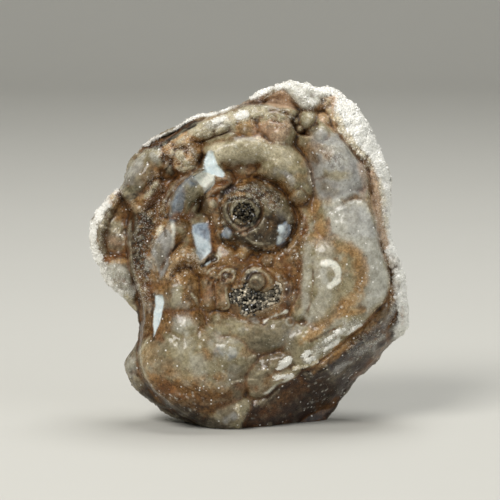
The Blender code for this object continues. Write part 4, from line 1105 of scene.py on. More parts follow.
LOWER: Marks = (
    # The big lower left lobe
    Mark(SMOKE, 1.3, ((-15.4, 11), (-15, 14.6)), 1.6, 0.7, 0.5),
    Mark(PEARL, 1.2, ((-11.4, 18.6), (-11, 17)), 1.2, 0.75, 0.6),
    Mark(PEARL, 1.15, ((-10.8, 14.2), (-8.6, 11.8), (-7.6, 8.4)), 2.2, 0.45, 0.9),
    Mark(SMOKE, 0.75, ((-16.2, 9.6), (-13, 11.4), (-11.6, 8)), 1.6, 0.5, 0.9),
    Mark(TAN, 0.9, ((-16.8, 13), (-14.8, 10.4), (-11.4, 8.6), (-6.6, 8)), 2, 0.5, 1),
    Patch(AMBER, ((-17.4, 10.8), (-14.8, 9.4), (-12, 8.2), (-8, 7.6), (-4, 8), (-2.6, 6.6), (-4.4, 3.4),
        (-8.4, 2.4), (-12.4, 3.6), (-15.6, 6), (-17.6, 8.6)), 2, 1, 0.8),
    Mark(RUST, 1, ((-16.2, 7.6), (-13, 5.4), (-9, 4.8), (-5, 5)), 1.2, 1, 0.6),
    Mark(UMBER, 0.5, ((-16, 6.6), (-12.4, 4.4), (-8, 4), (-5, 4)), 1.2, 0.7, 0.8),
    Mark(AMBER, 0.55, ((-13.6, 9.6), (-12.6, 8.2)), 1, 0.8, 0.6),
    Mark(RUST, 0.45, ((-14.4, 9), (-13.4, 7.4), (-12, 6)), 0.9, 0.7, 0.4),
    Mark(RUST, 0.4, ((-15.5, 16), (-14.6, 15.4)), 0.8, 0.7, 0.4),
    Mark(AMBER, 0.55, ((-8.4, 19), (-8, 16), (-7.6, 14), (-6.8, 12.6)), 1.4, 0.7, 0.6),
    Mark(BROWN, 0.75, ((-8, 18.8), (-6, 18.2), (-4, 17.8)), 1, 0.8, 0.4),
    # Painted highlight: pale and blue-white sheen on the bump at the lobe's upper right
    Mark(PEARL, 0.55, ((-5, 15.5), (-3.6, 15.2), (-2, 15)), 0.8, 0.6),
    Mark(BLUE, 0.7, ((-5, 13.2), (-3, 12.8)), 1.2, 0.5, 0.4),
    Mark(PEARL, 0.5, ((-4.4, 13.6), (-3, 13.4)), 0.8, 0.9, 0.4),
    Mark(AMBER, 0.5, ((-6.6, 9.2), (-4.8, 8.6)), 1, 0.7, 0.6),
    Mark(CREAM, 0.1, ((-5.2, 7.4), (-3.6, 8), (-1.2, 8.6), (1, 8.6)), 0.35, 0.6, 0.1, 0.1),
    Mark(BROWN, 0.7, ((-15, 5.6), (-11, 4.8), (-8, 5), (-5.4, 5.4), (-3, 5.5)), 1, 0.9, 0.4),
    Mark(UMBER, 0.95, ((-13.4, 4), (-10, 2.6), (-6.4, 1.2), (-3, -0.4)), 1, 1, 0.4),
    # Painted shade: near-black under the lobe, along its foot
    Mark(CREVICE_SHADE, 0.8, ((-14, 3.4), (-10, 1.9), (-6, 0.6)), 1, 0.5, 0.4),
    Mark(STRAW, 0.15, ((-18.3, 13), (-17.4, 14.6), (-16.8, 15.4)), 0.4, 0.8),
    Mark(BROWN, 0.5, ((-18.2, 14.6), (-17.6, 17.2), (-17.4, 20)), 0.6, 0.9),
    # The lower middle
    Mark(BROWN, 0.75, ((2.8, 6.8), (3.2, 8.8), (2.8, 10.6)), 1, 0.8, 0.4),
    Mark(RUST, 0.7, ((-2, 7.2), (0.8, 7.2)), 0.9, 0.75, 0.4),
    # Painted highlight: a cream patch of glints
    Patch(CREAM, ((-0.2, 12.3), (0.6, 12.9), (1.4, 12.8), (0.9, 12.2)), 0.4, 0.9),
    Patch(FROST, ((4, 10), (4.8, 11.1), (5.4, 11.5), (6.2, 12.3), (6.8, 12.2), (6.5, 11.2), (5.6, 10.7),
        (4.8, 10.3)), 0.4, 0.95, 0.2, 0.15),
    Mark(IVORY, 0.15, ((2.4, 6.2), (3, 6.5), (3.6, 7.1), (4.2, 7.6), (5, 8), (5.8, 8.3), (6.6, 8.8), (7, 9)),
        0.3, 0.95, 0.12, 0.15),
    Mark(FROST, 0.25, ((4.4, 8.9), (5.6, 9.1), (6.8, 9.2)), 0.4, 0.85, 0.3),
    Mark(STRAW, 0.35, ((1.2, 9.4), (2.6, 10), (4.2, 9.6)), 0.7, 0.5, 0.4),
    Patch(SMOKE, ((0.4, 4.8), (1, 6), (2.4, 6.2), (2.6, 5.2), (1.6, 4.6)), 0.5, 0.9, 0.3),
    # The small window near the foot
    Patch(SMOKE, ((-5.2, 4.2), (-2.2, 4.8), (-2, 2.4), (-3.2, 0.8), (-5, 1.2)), 0.5, 0.9),
    Mark(CREAM, 0.1, ((-2.1, 4.4), (-1.9, 3), (-1.8, 2.2)), 0.3, 0.8, 0.3, 0.1),
    Mark(LAVENDER, 0.5, ((-4, 2), (-2.6, 2.4)), 0.7, 0.8, 0.3),
    # The sage hollow between the lower eye and the ledge
    Mark(MOSS, 1.25, ((-1, 15.4), (3, 14.6), (6.6, 15)), 1.6, 0.6, 0.5),
    Mark(BROWN, 0.6, ((3.2, 12), (5.4, 13.2)), 0.9, 0.5, 0.4),
)

MIDDLE_LEFT: Marks = (
    # The dark rough band inside the left edge
    Patch(UMBER, ((-20.2, 36), (-17, 36.6), (-15.6, 34.4), (-16, 31.6), (-16.8, 29.4), (-16.2, 26),
        (-17.4, 24.6), (-19.4, 26), (-20.2, 31)), 0.9, 1, 0.6),
    Mark(TAN, 0.25, ((-18, 34), (-16.6, 33.4), (-15.5, 32.5)), 0.6, 0.6, 0.6),
    Patch(CREAM, ((-15.2, 34.1), (-14, 34.1), (-14.4, 33.2), (-15, 32), (-15.4, 33)), 0.4, 0.9),
    Mark(PEARL, 0.3, ((-17.2, 28.4), (-16.8, 27)), 0.6, 0.6, 0.5),
    Mark(BROWN, 0.75, ((-18.4, 26), (-17.6, 22.6), (-17.2, 18.4)), 1, 0.9, 0.4),
    Mark(RUST, 0.45, ((-16.6, 24.4), (-16.4, 22)), 0.7, 0.8, 0.3),
    # The lavender petal and its streaks
    Patch(LAVENDER, ((-13.9, 33.6), (-12.6, 32), (-13, 30), (-13.4, 28), (-14, 26), (-14.8, 25.2),
        (-15.2, 27), (-15.6, 28.5), (-16.5, 29.5), (-15.5, 31.4), (-14.8, 32.6)), 0.6, 0.9),
    Mark(SMOKE, 0.7, ((-14.9, 30.6), (-14.7, 27.4)), 0.8, 0.7),
    Mark(UMBER, 0.15, ((-14.1, 33.7), (-13.9, 32.2)), 0.3, 0.9),
    Mark(IVORY, 0.15, ((-12.8, 34.8), (-12.5, 33), (-12.7, 31), (-13, 29.5)), 0.4, 0.75, 0.2, 0.15),
    Mark(BEIGE, 0.6, ((-11.4, 33.2), (-10.7, 31.4)), 0.8, 0.9, 0.3),
    Mark(TAN, 0.3, ((-14.4, 24.6), (-13.4, 26.4), (-12.4, 27.8), (-11.2, 29)), 0.4, 0.9, 0.2, 0.2),
    # The brown lobe below it
    Mark(SMOKE, 1.05, ((-13.2, 21), (-12.4, 24)), 1, 0.9, 0.3),
    Patch(TAN, ((-12.8, 25.4), (-12.2, 27.2), (-10.4, 27.6), (-9.4, 26.2), (-10.2, 24.8), (-11.8, 24.6)), 0.9,
        0.8, 0.5, 0.1),
    Mark(PEARL, 0.65, ((-12.6, 23.2), (-12.2, 21.8)), 0.8, 0.8, 0.5, 0.1),
    Mark(BEIGE, 0.8, ((-12.6, 21.6), (-11.6, 23.4)), 1, 0.7, 0.3),
    Mark(BROWN, 0.5, ((-10, 22), (-9.8, 24.6)), 0.7, 0.8),
    Mark(RUST, 0.45, ((-13.8, 20), (-12.6, 19.4), (-10.4, 19.6)), 0.8, 0.7, 0.4),
    # The white slit
    # Painted shade along the edges of the slit's recess
    Mark(UMBER, 0.2, ((-15.9, 22.6), (-16.2, 19.6), (-16.3, 17), (-15.9, 15.4)), 0.4, 0.9),
    Mark(UMBER, 0.15, ((-14.2, 22.6), (-14, 21), (-14.4, 18.8)), 0.4, 0.7),
    Patch(BARE, BARE_SLIT, 0.25, 1, 0.1),
    # The blue petal and the facets at its foot
    Mark(HAZE, 1.05, ((-12.5, 35.6), (-11.8, 38), (-10.7, 40), (-9.3, 41.4)), 0.6, 0.9, 0.3),
    Mark(BLUE, 0.25, ((-12.6, 37.6), (-12, 39.4), (-10.6, 41.2)), 0.6, 0.35, 0.3),
    Mark(PEARL, 0.1, ((-13.4, 37.4), (-13, 39.4), (-11.8, 41.4), (-10.2, 42.4)), 0.3, 0.6, 0.2, 0.1),
    Patch(MOSS, ((-10.4, 40.2), (-9, 40.6), (-8, 39), (-8.8, 37.4), (-10.2, 36.8), (-10.8, 38.6)), 0.5, 0.9),
    Mark(RUST, 0.5, ((-12.4, 35.6), (-10.8, 35.6), (-9.4, 35.8)), 0.7, 0.9, 0.3),
    Mark(BROWN, 0.5, ((-11.8, 34.6), (-10.4, 34)), 0.7, 0.8),
    # The white patch
    # Painted shade along the edge of the patch's recess
    Mark(UMBER, 0.25, ((-9.4, 42.7), (-7.7, 43.4), (-7.7, 44.6), (-7.2, 45.8)), 0.4, 0.9),
    Patch(BARE, BARE_LONG, 0.2, 1, 0.08),
    Patch(BARE, ((-7.5, 44.6), (-6.9, 46.3), (-6.1, 46.3), (-5.8, 45.2), (-5.2, 43.8), (-4.3, 42.9),
        (-4.2, 42.2), (-5.3, 42.1), (-6.2, 42.7), (-7, 43.6)), 0.35, 1, 0.08),
    Patch(IVORY, ((-9.2, 42.1), (-8.2, 42.7), (-7.2, 42.9), (-5.9, 42.4), (-5.9, 41), (-6.5, 40.3),
        (-7.5, 39.4), (-7.8, 40.2), (-8.5, 41.3)), 0.3, 0.85, 0.1),
)

EYE_MARKS: Marks = (
    # The blue and white oval between the eyes
    # Painted shade along the edges of the oval's recess
    Mark(UMBER, 0.25, ((-6.4, 34), (-6.3, 31), (-6, 29), (-7.4, 28)), 0.4, 0.95),
    Mark(UMBER, 0.15, ((-9.7, 34), (-9.6, 32.2), (-9.2, 30.6), (-8.8, 28.8)), 0.35, 0.8),
    Patch(BARE, BARE_OVAL, 0.3, 1, 0.1),
    Patch(BLUE, BARE_OVAL, 0.8, 0.35, 0.3),
    Patch(BLUE, ((-9.6, 34.2), (-6.7, 34.5), (-6.6, 32.5), (-6.8, 31.4), (-7.8, 31.9), (-8.6, 32.5),
        (-9.4, 32.9)), 0.6, 0.85, 0.15),
    Patch(BEIGE, ((-5.8, 28.8), (-5.3, 30.1), (-4.6, 29.3), (-5.2, 28.4)), 0.4, 0.9),
    # The rust tubes round the upper eye
    Mark(RUST, 0.6, ((-7.4, 37.4), (-6.8, 39), (-5.4, 40.2), (-3.8, 41.2), (-2.2, 41.8)), 0.6, 0.95, 0.2,
        0.15),
    Mark(RUST, 0.55, ((-5.6, 39.4), (-5.6, 37.6), (-6.3, 35), (-6.2, 32.4), (-6, 30.2)), 0.8, 0.9),
    Mark(STRAW, 0.6, ((-5.9, 37.5),), 0.6, 0.8),
    Mark(UMBER, 0.3, ((-7, 38.4), (-7.4, 36.8)), 0.6, 0.7),
    # The upper eye's dome
    Patch(MOSS, ((0.8, 41), (4, 40.4), (6.4, 38), (7, 35), (6, 31.6), (3.6, 30.6), (0.6, 30.8), (-2.4, 31.4),
        (-4.6, 33.4), (-4.6, 37), (-2.8, 40.2)), 1, 0.85, 0.3),
    Patch(UMBER, ((-4.6, 34.2), (-1.6, 33.6), (0.6, 34.4), (2.4, 36), (4.6, 35.8), (5.4, 34.4), (4.6, 31.4),
        (2, 30), (-0.4, 30.4), (-3.4, 31.2)), 1, 0.85, 0.4),
    Patch(UMBER, ((-3.4, 39.6), (0, 41.4), (3.6, 40.9), (5.8, 39.2), (4.8, 37.8), (2, 38.4), (-0.6, 38.9),
        (-2.8, 38)), 0.9, 0.75, 0.5),
    Mark(UMBER, 0.4, arc((-1.2, 36.2), 3, 60, 300), 0.9, 0.7, 0.4),
    Mark(INK, 0.1, arc((-1, 36.2), 4.3, -58, 64), 0.5, 0.6, 0.5, -0.1),
    Mark(BROWN, 0.25, arc((-1, 36.2), 5.1, -50, 60), 0.6, 0.7, 0.5),
    Mark(INK, 0.1, arc((-0.8, 36.2), 6, -50, 66), 0.5, 0.5, 0.6, -0.1),
    # Painted shade on the dome's lower side
    Mark(INK, 0.5, ((-0.4, 31.8), (1.6, 32.4), (3.4, 32)), 1, 0.5, 0.5),
    Mark(INK, 0.15, ((2.6, 35.4), (4.4, 34.8), (5.6, 34.6)), 0.5, 0.6, 0.4, -0.1),
    Mark(INK, 0.3, ((-1.6, 41.2), (-3, 40.6), (-4.4, 39.6), (-5, 38), (-4.9, 36.4), (-5, 34.4), (-4.9, 33),
        (-4.6, 31.6), (-3.8, 30.6)), 0.5, 1, 0.3, -0.3),
    # Painted shade: the near-black crescent under the dome's foot
    Mark(INK, 0.35, ((6.8, 34), (6.7, 32.5), (5.9, 30.8), (4.6, 29.9), (3.2, 29.6), (1, 30.2), (-0.8, 30.8)),
        0.6, 1, 0.3, -0.3),
    Mark(UMBER, 0.25, ((7.2, 38.4), (7.2, 36), (6.9, 34)), 0.7, 0.7),
    Mark(BLUE, 0.2, ((-3.8, 39.6), (-3, 40), (-2.4, 40.2)), 0.5, 0.6),
    Mark(INK, 0.25, ((-2, 38.6), (-3.2, 38.2), (-3.6, 37.4), (-3.5, 36), (-2.9, 35), (-2, 34.1), (-1, 33.9),
        (0.3, 34.5), (1.4, 35.4), (1.9, 36.4), (1.5, 37.3), (0.4, 38.2), (-1, 38.6), (-2, 38.6)), 0.4, 0.95,
        0.3, -0.25),
    Mark(MOSS, 0.3, arc((-1.1, 36.3), 1.9, 0, 360), 0.4, 0.9, 0.5, 0.15),
    Mark(TAN, 0.1, arc((-1.1, 36.3), 2, 200, 300), 0.3, 0.6, 0.5),
    Mark(INK, 0.1, arc((-1.1, 36.3), 2.45, 150, 330), 0.3, 0.9, 0.3, -0.1),
    Mark(TAN, 0.25, ((-2.8, 39), (-1.8, 39.4), (-0.6, 39.2), (0.6, 38.9)), 0.4, 0.7, 0.5, 0.15),
    Mark(SMOKE, 0.5, ((2.4, 37.6), (4.6, 36.6)), 1, 0.7, 0.6),
    Mark(STRAW, 0.05, ((0.3, 34.1), (1.2, 32.8)), 0.3, 0.6, 0.3),
    Mark(INK, 0.2, arc((-3.8, 32.8), 1.25, 0, 360), 0.4, 0.9),
    Mark(BLUE, 0.85, ((-3.8, 32.8),), 0.4, 0.9),
    Mark(PINK, 0.1, arc((-2.2, 33.4), 0.45, 0, 360), 0.25, 0.8),
    Mark(PINK, 0.1, arc((-0.8, 33), 0.55, 0, 360), 0.25, 0.8),
    # Painted shade in the band under the dome
    Mark(UMBER, 0.45, ((-0.4, 31.4), (1.6, 30.6), (3.8, 31.2)), 0.7, 0.8),
    Mark(STRAW, 0.1, ((-0.6, 32), (0.6, 31.2), (2, 31), (3.2, 31.1)), 0.3, 0.7, 0.1, 0.1),
    # Painted highlight: a blue-white sheen on the dome's lower right
    Mark(BLUE, 0.65, ((5.8, 33.4), (5.6, 32.2), (5, 31)), 0.5, 0.85, 0.5),
    Mark(BARE, 0.1, ((5.3, 33.6), (5, 32.6), (4.7, 31.3)), 0.35, 0.7, 0.5),
    Mark(RUST, 0.7, ((-1.8, 28.6), (1, 28.2), (3.8, 28.6), (6, 29.4)), 0.9, 0.8, 0.3),
    Mark(TAN, 0.8, ((-1.3, 29.6),), 0.6, 0.95),
    # The bubbles and the two curled lobes to the left of the lower eye
    Mark(RUST, 0.85, ((-7.4, 22.6), (-6.4, 24.8), (-4.4, 24.6)), 1, 0.8, 0.3),
    Mark(CREAM, 0.15, ((-7, 26.2), (-6.4, 26.9), (-5.7, 27.1), (-5, 26.8)), 0.3, 0.9, 0.1, 0.2),
    Mark(UMBER, 0.3, ((-6.8, 24.6), (-6.3, 25.4)), 0.4, 0.95, 0.1, -0.2),
    Mark(UMBER, 0.45, ((-4.5, 25), (-4.1, 25.9), (-3.2, 25.7)), 0.4, 0.95, 0.2, -0.5),
    Mark(INK, 0.35, ((-7.8, 27.6), (-6.8, 28.2), (-6, 28.6)), 0.4, 0.95, 0.3, -0.3),
    Mark(BARE, 0.1, ((-7.2, 27.6), (-6.6, 28)), 0.25, 0.8),
    Mark(STRAW, 0.15, ((-5.7, 24.6), (-5.4, 25.6), (-4.8, 26.4), (-4, 26.8), (-3.2, 26.9), (-2.5, 26.5),
        (-2.5, 25.7), (-2.9, 24.8)), 0.3, 0.95, 0.12, 0.25),
    Mark(STRAW, 0.15, ((-9.6, 22.8), (-9, 22), (-8.6, 21), (-7.8, 20.3), (-7, 20), (-6, 20.1), (-5.4, 20.5)),
        0.35, 0.9, 0.12, 0.25),
    Mark(PINK, 0.45, ((-7, 23.8), (-6.9, 21.8)), 0.8, 0.6, 0.4),
    Mark(PINK, 0.4, ((-4.7, 23.6), (-4.5, 21.8)), 0.8, 0.5, 0.4),
    Mark(PINK, 0.15, ((-5.6, 24.2), (-5.6, 22), (-5.5, 20.7)), 0.35, 0.9, 0.1, 0.1),
    Mark(STRAW, 0.15, ((-4, 23.7), (-3.8, 22), (-3.4, 21), (-3.6, 20.5), (-4.6, 20.1)), 0.3, 0.85, 0.1, 0.2),
    # The lower eye's dome, rim and the crystals round it
    Mark(AMBER, 0.75, ((-8.6, 20.6), (-3, 18.8), (2, 18.2)), 1.2, 0.7, 0.5),
    Patch(BROWN, ((-2.4, 24.6), (0, 27.2), (3.6, 27.4), (5.6, 25.4), (5.8, 22), (4.6, 19.8), (1.6, 18.6),
        (-1.4, 18.6), (-3.4, 20.4)), 1, 0.45, 0.5),
    Mark(UMBER, 1.4, ((1, 25),), 0.5, 1),
    Mark(SMOKE, 0.35, ((0.8, 25.4), (1.5, 25.1)), 0.6, 0.7, 0.3),
    Mark(STRAW, 0.1, arc((0.9, 24.7), 0.95, 20, 150, 0.9), 0.3, 0.8, 0.1, 0.1),
    Mark(INK, 0.2, arc((1.1, 24.9), 1.65, -60, 200, 0.95), 0.4, 0.95, 0.2, -0.25),
    Mark(BEIGE, 0.2, arc((1.4, 24.6), 2.1, 0, 100), 0.35, 0.9, 0.1, 0.1),
    Mark(INK, 0.2, ((-0.7, 26), (0.2, 26.6), (1.2, 26.7)), 0.4, 0.8, 0.4, -0.1),
    Mark(CREAM, 0.05, ((-0.6, 26.3), (0.2, 26.8), (1.2, 27), (2.2, 26.8)), 0.3, 0.7, 0.5, 0.1),
    Patch(INK, LOWER_PIT, 0.6, 0.95, 0.45),
    Patch(INK, UPPER_PIT, 0.6, 0.9, 0.4),
    Mark(INK, 0.15, ((2.2, 17.7), (3.6, 18.3), (5, 18.9)), 0.4, 0.8, 0.3, -0.2),
    Mark(IVORY, 0.15, ((2.4, 18.2), (3.2, 18.7), (4, 19), (5, 19.5), (5.9, 19.8)), 0.3, 1, 0.3, 0.3),
    Mark(PEARL, 0.1, arc((6.6, 18.2), 0.65, 0, 360), 0.25, 0.8, 0.1, 0.1),
    Mark(MOSS, 0.8, ((8.6, 18.3),), 0.4, 0.7),
    Mark(PEARL, 0.1, arc((8.6, 18.3), 1.05, 0, 360), 0.25, 0.8, 0.1, 0.15),
    Mark(PEARL, 0.35, ((-1.2, 18.2), (0, 18.4), (1.1, 18.2)), 0.5, 0.8, 0.4, 0.1),
)

PAINT: Marks = (*GROUND, *WING, *UPPER_LEFT, *TOP, *UPPER_RIGHT, *RIGHT, *LOWER, *MIDDLE_LEFT, *EYE_MARKS)

# Clouds of the back: tone, share, cell size, contrast, shift and salt
BACK_CLOUDS = (
    (SMOKE, 1.0, 6.0, 1.4, 0.45, 71),
    (PEARL, 0.7, 8.0, 2.0, -0.1, 76),
    (RUST, 0.8, 4.5, 2.4, -0.5, 82),
)

# Stains and painted shade of the hollows, painted highlight where it stands out: tone, share, rounds of
# smoothing, depth at which they are full, and shift. A depth below zero stands for places that stand out.
STAINS_SHADE_AND_HIGHLIGHT = (
    # Amber and rust: brown staining and painted shade in the hollows
    (AMBER, 0.60, 60, 0.45, 0.0),
    (RUST, 0.55, 10, 0.10, 0.0),
    # Umber: painted shade deepest in the creases
    (UMBER, 0.85, 10, 0.20, 0.2),
    # Straw: painted highlight on the places that stand out
    (STRAW, 0.26, 10, -0.09, 0.0),
)

# How far each tone keeps off the hollow stains, painted shade and painted highlight, and the painted glint
# specks
CLEAN = {
    BARE: 1.0, IVORY: 1.0, FROST: 0.9, NICHE: 0.8, PEARL: 0.5, LAVENDER: 0.5,
    INK: 0.8,
}


def linear(rgb: Colour) -> tuple[float, float, float, float]:
    """A colour as the shader needs it, from the 0 to 255 that a screen shows."""
    parts = [c / 255.0 for c in rgb]
    return tuple(c / 12.92 if c <= 0.04045 else ((c + 0.055) / 1.055) ** 2.4 for c in parts) + (1.0,)


class Painter:
    """Lays the paint on: holds the share of every tone at every place."""

    FOOT_SHARE = 0.85
    FOOT_TOP = 10.0
    FOOT_FADE = 6.0

    def __init__(self, places: Array) -> None:
        """Starts with an even ground.

        Args:
            places: (n, 3) points of the face frame.
        """
        self.tones = list(Tone)
        self.places = places
        self.shares = np.zeros((len(places), len(self.tones)))
        self.shares[:, self.tones.index(BROWN)] = 1.0

    def cover(self, tone: Tone, share: Array, places: Array | slice = slice(None)) -> None:
        """Mixes a tone in.

        Args:
            tone: the tone.
            share: how much of it each place gets.
            places: indices of those places, or all of them.
        """
        self.shares[places] *= 1.0 - share[:, None]
        self.shares[places, self.tones.index(tone)] += share

    def paint_back(self) -> None:
        """Lays brown, pale and rust clouds on, as on the underside of such a stone, and a dark foot."""
        for tone, share, cell, contrast, shift, salt in BACK_CLOUDS:
            self.cover(tone, share * step(Noise.fractal(self.places, cell, 4, salt) * contrast + shift))
        self.cover(SLATE, self.FOOT_SHARE * step((self.FOOT_TOP - self.places[:, 1]) / self.FOOT_FADE))

    def paint_front(self, front: Array) -> None:
        """Lays all the marks on the front.

        Args:
            front: how far each place belongs to the front, from 0 to 1.
        """
        at = self.places[:, :2]
        warp = ragged_edges(at)
        for mark in PAINT:
            places, share = mark.mask(at, warp)
            self.cover(mark.tone, share * front[places], places)

    def share(self, tone: Tone) -> Array:
        """The share of one tone at every place."""
        return self.shares[:, self.tones.index(tone)]

    def total(self, name: str) -> Array:
        """The mix of one number of the tints at every place."""
        return self.shares @ np.array([getattr(tone.value, name) for tone in self.tones])

    def colour(self, name: str) -> Array:
        """The mix of one colour of the tints at every place, as (n, 4) for the shader."""
        return self.shares @ np.array([linear(getattr(tone.value, name)) for tone in self.tones])


class Wire:
    """A socket that can be used in expressions. Each operator adds its Math node."""

    def __init__(self, graph: "Graph", socket: bpy.types.NodeSocket) -> None:
        """Wraps a socket of a graph."""
        self.graph = graph
        self.socket = socket

    def _math(self, operation: str, *values: "Wire | float") -> "Wire":
        """One Math node over this or other values."""
        return self.graph.add("ShaderNodeMath", {"operation": operation}, dict(enumerate(values)))[0]

    def __add__(self, other: "Wire | float") -> "Wire":
        """Sum."""
        return self._math("ADD", self, other)

    __radd__ = __add__

    def __sub__(self, other: "Wire | float") -> "Wire":
        """Difference."""
        return self._math("SUBTRACT", self, other)

    def __rsub__(self, other: float) -> "Wire":
        """Difference, reflected."""
        return self._math("SUBTRACT", other, self)

    def __mul__(self, other: "Wire | float") -> "Wire":
        """Product."""
        return self._math("MULTIPLY", self, other)

    __rmul__ = __mul__

    def __gt__(self, other: "Wire | float") -> "Wire":
        """1 where this is greater, else 0."""
        return self._math("GREATER_THAN", self, other)

    def clamp(self) -> "Wire":
        """This, kept between 0 and 1."""
        return self.graph.add("ShaderNodeClamp", {}, {0: self})[0]

    def ramp(self, low: float, high: float) -> "Wire":
        """This, moved smoothly from 0 at low to 1 at high."""
        inputs = {"Value": self, "From Min": low, "From Max": high}
        return self.graph.add("ShaderNodeMapRange", {"interpolation_type": "SMOOTHSTEP"}, inputs)[0]


class Graph:
    """The node tree of one material."""

    def __init__(self, name: str) -> None:
        """Starts an empty material with a Principled shader."""
        self.material = bpy.data.materials.new(name)
        self.material.use_nodes = True
        self.tree = self.material.node_tree

    def feed(self, socket: bpy.types.NodeSocket, value: Wire | float | tuple) -> None:
        """Links a wire to a socket, or sets its value."""
        if isinstance(value, Wire):
            self.tree.links.new(value.socket, socket)
        else:
            socket.default_value = value

    def add(self, kind: str, settings: dict, inputs: dict) -> list[Wire]:
        """Adds a node.

        Args:
            kind: the node's type.
            settings: its properties, which are set first.
            inputs: values or wires, by socket name or number.

        Returns:
            Its outputs that are in use.
        """
        node = self.tree.nodes.new(kind)
        for key, value in settings.items():
            setattr(node, key, value)
        for key, value in inputs.items():
            sockets = [socket for socket in node.inputs if socket.enabled]
            named = (socket for socket in sockets if socket.name == key)
            self.feed(sockets[key] if isinstance(key, int) else next(named), value)
        return [Wire(self, socket) for socket in node.outputs if socket.enabled]

    def place(self) -> Wire:
        """The place on the object, in metres."""
        outputs = self.add("ShaderNodeTexCoord", {}, {})
        return next(wire for wire in outputs if wire.socket.name == "Object")

    def attribute(self, name: str, output: str = "Fac") -> Wire:
        """A number kept with the mesh, or a colour where the output is "Color"."""
        outputs = self.add("ShaderNodeAttribute", {"attribute_name": name}, {})
        return next(wire for wire in outputs if wire.socket.name == output)

    def noise(self, place: Wire, cell_mm: float, detail: float = 3.0, roughness: float = 0.55) -> Wire:
        """Noise from 0 to 1 with the given cell size."""
        inputs = {"Vector": place, "Scale": 1.0 / (cell_mm * MM), "Detail": detail, "Roughness": roughness}
        return self.add("ShaderNodeTexNoise", {"noise_dimensions": "3D"}, inputs)[0]

    def cells(self, place: Wire, cell_mm: float) -> tuple[Wire, list[Wire]]:
        """A cell pattern: the distance to the cell's middle, and the three parts of the cell's own colour."""
        inputs = {"Vector": place, "Scale": 1.0 / (cell_mm * MM)}
        distance, colour, *_ = self.add("ShaderNodeTexVoronoi", {"feature": "F1"}, inputs)
        return distance, self.add("ShaderNodeSeparateColor", {}, {0: colour})

    def blend(self, share: Wire | float, a: Wire | tuple, b: Wire | tuple) -> Wire:
        """Colour b mixed into colour a."""
        return self.add("ShaderNodeMix", {"data_type": "RGBA"}, {"Factor": share, "A": a, "B": b})[0]

    def dim(self, colour: Wire, share: Wire) -> Wire:
        """A colour times a number."""
        return self.add("ShaderNodeVectorMath", {"operation": "SCALE"}, {0: colour, 1: share})[0]

    def bump(self, height: Wire, strength: float, depth_mm: float) -> Wire:
        """The normal of a surface with fine relief on it."""
        inputs = {"Strength": strength, "Distance": depth_mm * MM, "Height": height}
        return self.add("ShaderNodeBump", {}, inputs)[0]

    def finish(self, inputs: dict[str, Wire | float | tuple]) -> bpy.types.Material:
        """Feeds the shader's own sockets.

        Args:
            inputs: values or wires, by socket name.

        Returns:
            The finished material.
        """
        shader = self.tree.nodes["Principled BSDF"]
        for name, value in inputs.items():
            self.feed(shader.inputs[name], value)
        return self.material


@dataclass(frozen=True)
class StoneFinish:
    """Chalcedony: its tones come with the mesh, and fine mottling, grain and glints are laid over them."""

    name: str = "chalcedony"
    cloud_mm: float = 4.0
    mottle_mm: float = 1.3
    fine_mm: float = 0.544
    grain_mm: float = 0.34
    glint_mm: float = 0.62
    tooth_mm: float = 0.3
    light_range: Pair = (0.37, 0.63)
    tooth_range: Pair = (0.34, 0.66)
    glint_edge: Pair = (0.14, 0.32)
    fleck_edge: Pair = (0.14, 0.30)
    glint_share: float = 0.20
    fleck_share: float = 0.13
    glint: Colour = (250, 248, 242)
    fleck: Colour = (44, 32, 22)
    coat: float = 0.30
    bump: float = 0.35
    bump_mm: float = 0.12

    def build(self) -> bpy.types.Material:
        """Makes the material."""
        g = Graph(self.name)
        place = g.place()
        cloud = g.noise(place, self.cloud_mm, 3.0, 0.6)
        mottle = g.noise(place, self.mottle_mm, 5.0, 0.65)
        fine = g.noise(place, self.fine_mm, 2.0, 0.6)
        light = (cloud * 0.25 + mottle * 0.45 + fine * 0.3).ramp(*self.light_range)
        colour = g.blend(light, g.attribute("stone_dark", "Color"), g.attribute("stone_light", "Color"))

        # Fine grain, each crystal a little lighter or darker
        grain = g.attribute("stone_grain")
        _, facet = g.cells(place, self.grain_mm)
        shade = 1.0 + (facet[0] - 0.5) * 0.35 * grain
        tooth = g.noise(place, self.tooth_mm, 2.0, 0.7).ramp(*self.tooth_range)
        colour = g.dim(colour, shade * (1.0 + (tooth - 0.5) * (grain * 0.9 + 0.05)))

        # Pale glints and dark flecks, each in the middle of its own cell
        spots, pick = g.cells(place, self.glint_mm)
        picked = pick[0] > 1.0 - self.glint_share * g.attribute("stone_glints")
        glint = picked * (1.0 - spots.ramp(*self.glint_edge))
        colour = g.blend(glint * 0.8, colour, linear(self.glint))
        fleck = (pick[1] > 1.0 - self.fleck_share) * (1.0 - spots.ramp(*self.fleck_edge))
        colour = g.blend(fleck * (grain * 0.6 + 0.25), colour, linear(self.fleck))

        rough = g.attribute("stone_roughness") + (fine - 0.5) * 0.15
        height = facet[2] * grain * 0.7 + fine * 0.35 + mottle * 0.5
        return g.finish({
            "Base Color": colour,
            "Roughness": (rough - glint * 0.2).clamp(),
            "Coat Weight": ((1.0 - grain) * self.coat).clamp(),
            "Coat Roughness": 0.08,
            "Specular IOR Level": 0.24,
            "Subsurface Weight": 0.04,
            "Subsurface Radius": (1.0, 0.7, 0.45),
            "Subsurface Scale": 1.2 * MM,
            "Normal": g.bump(height, self.bump, self.bump_mm),
        })


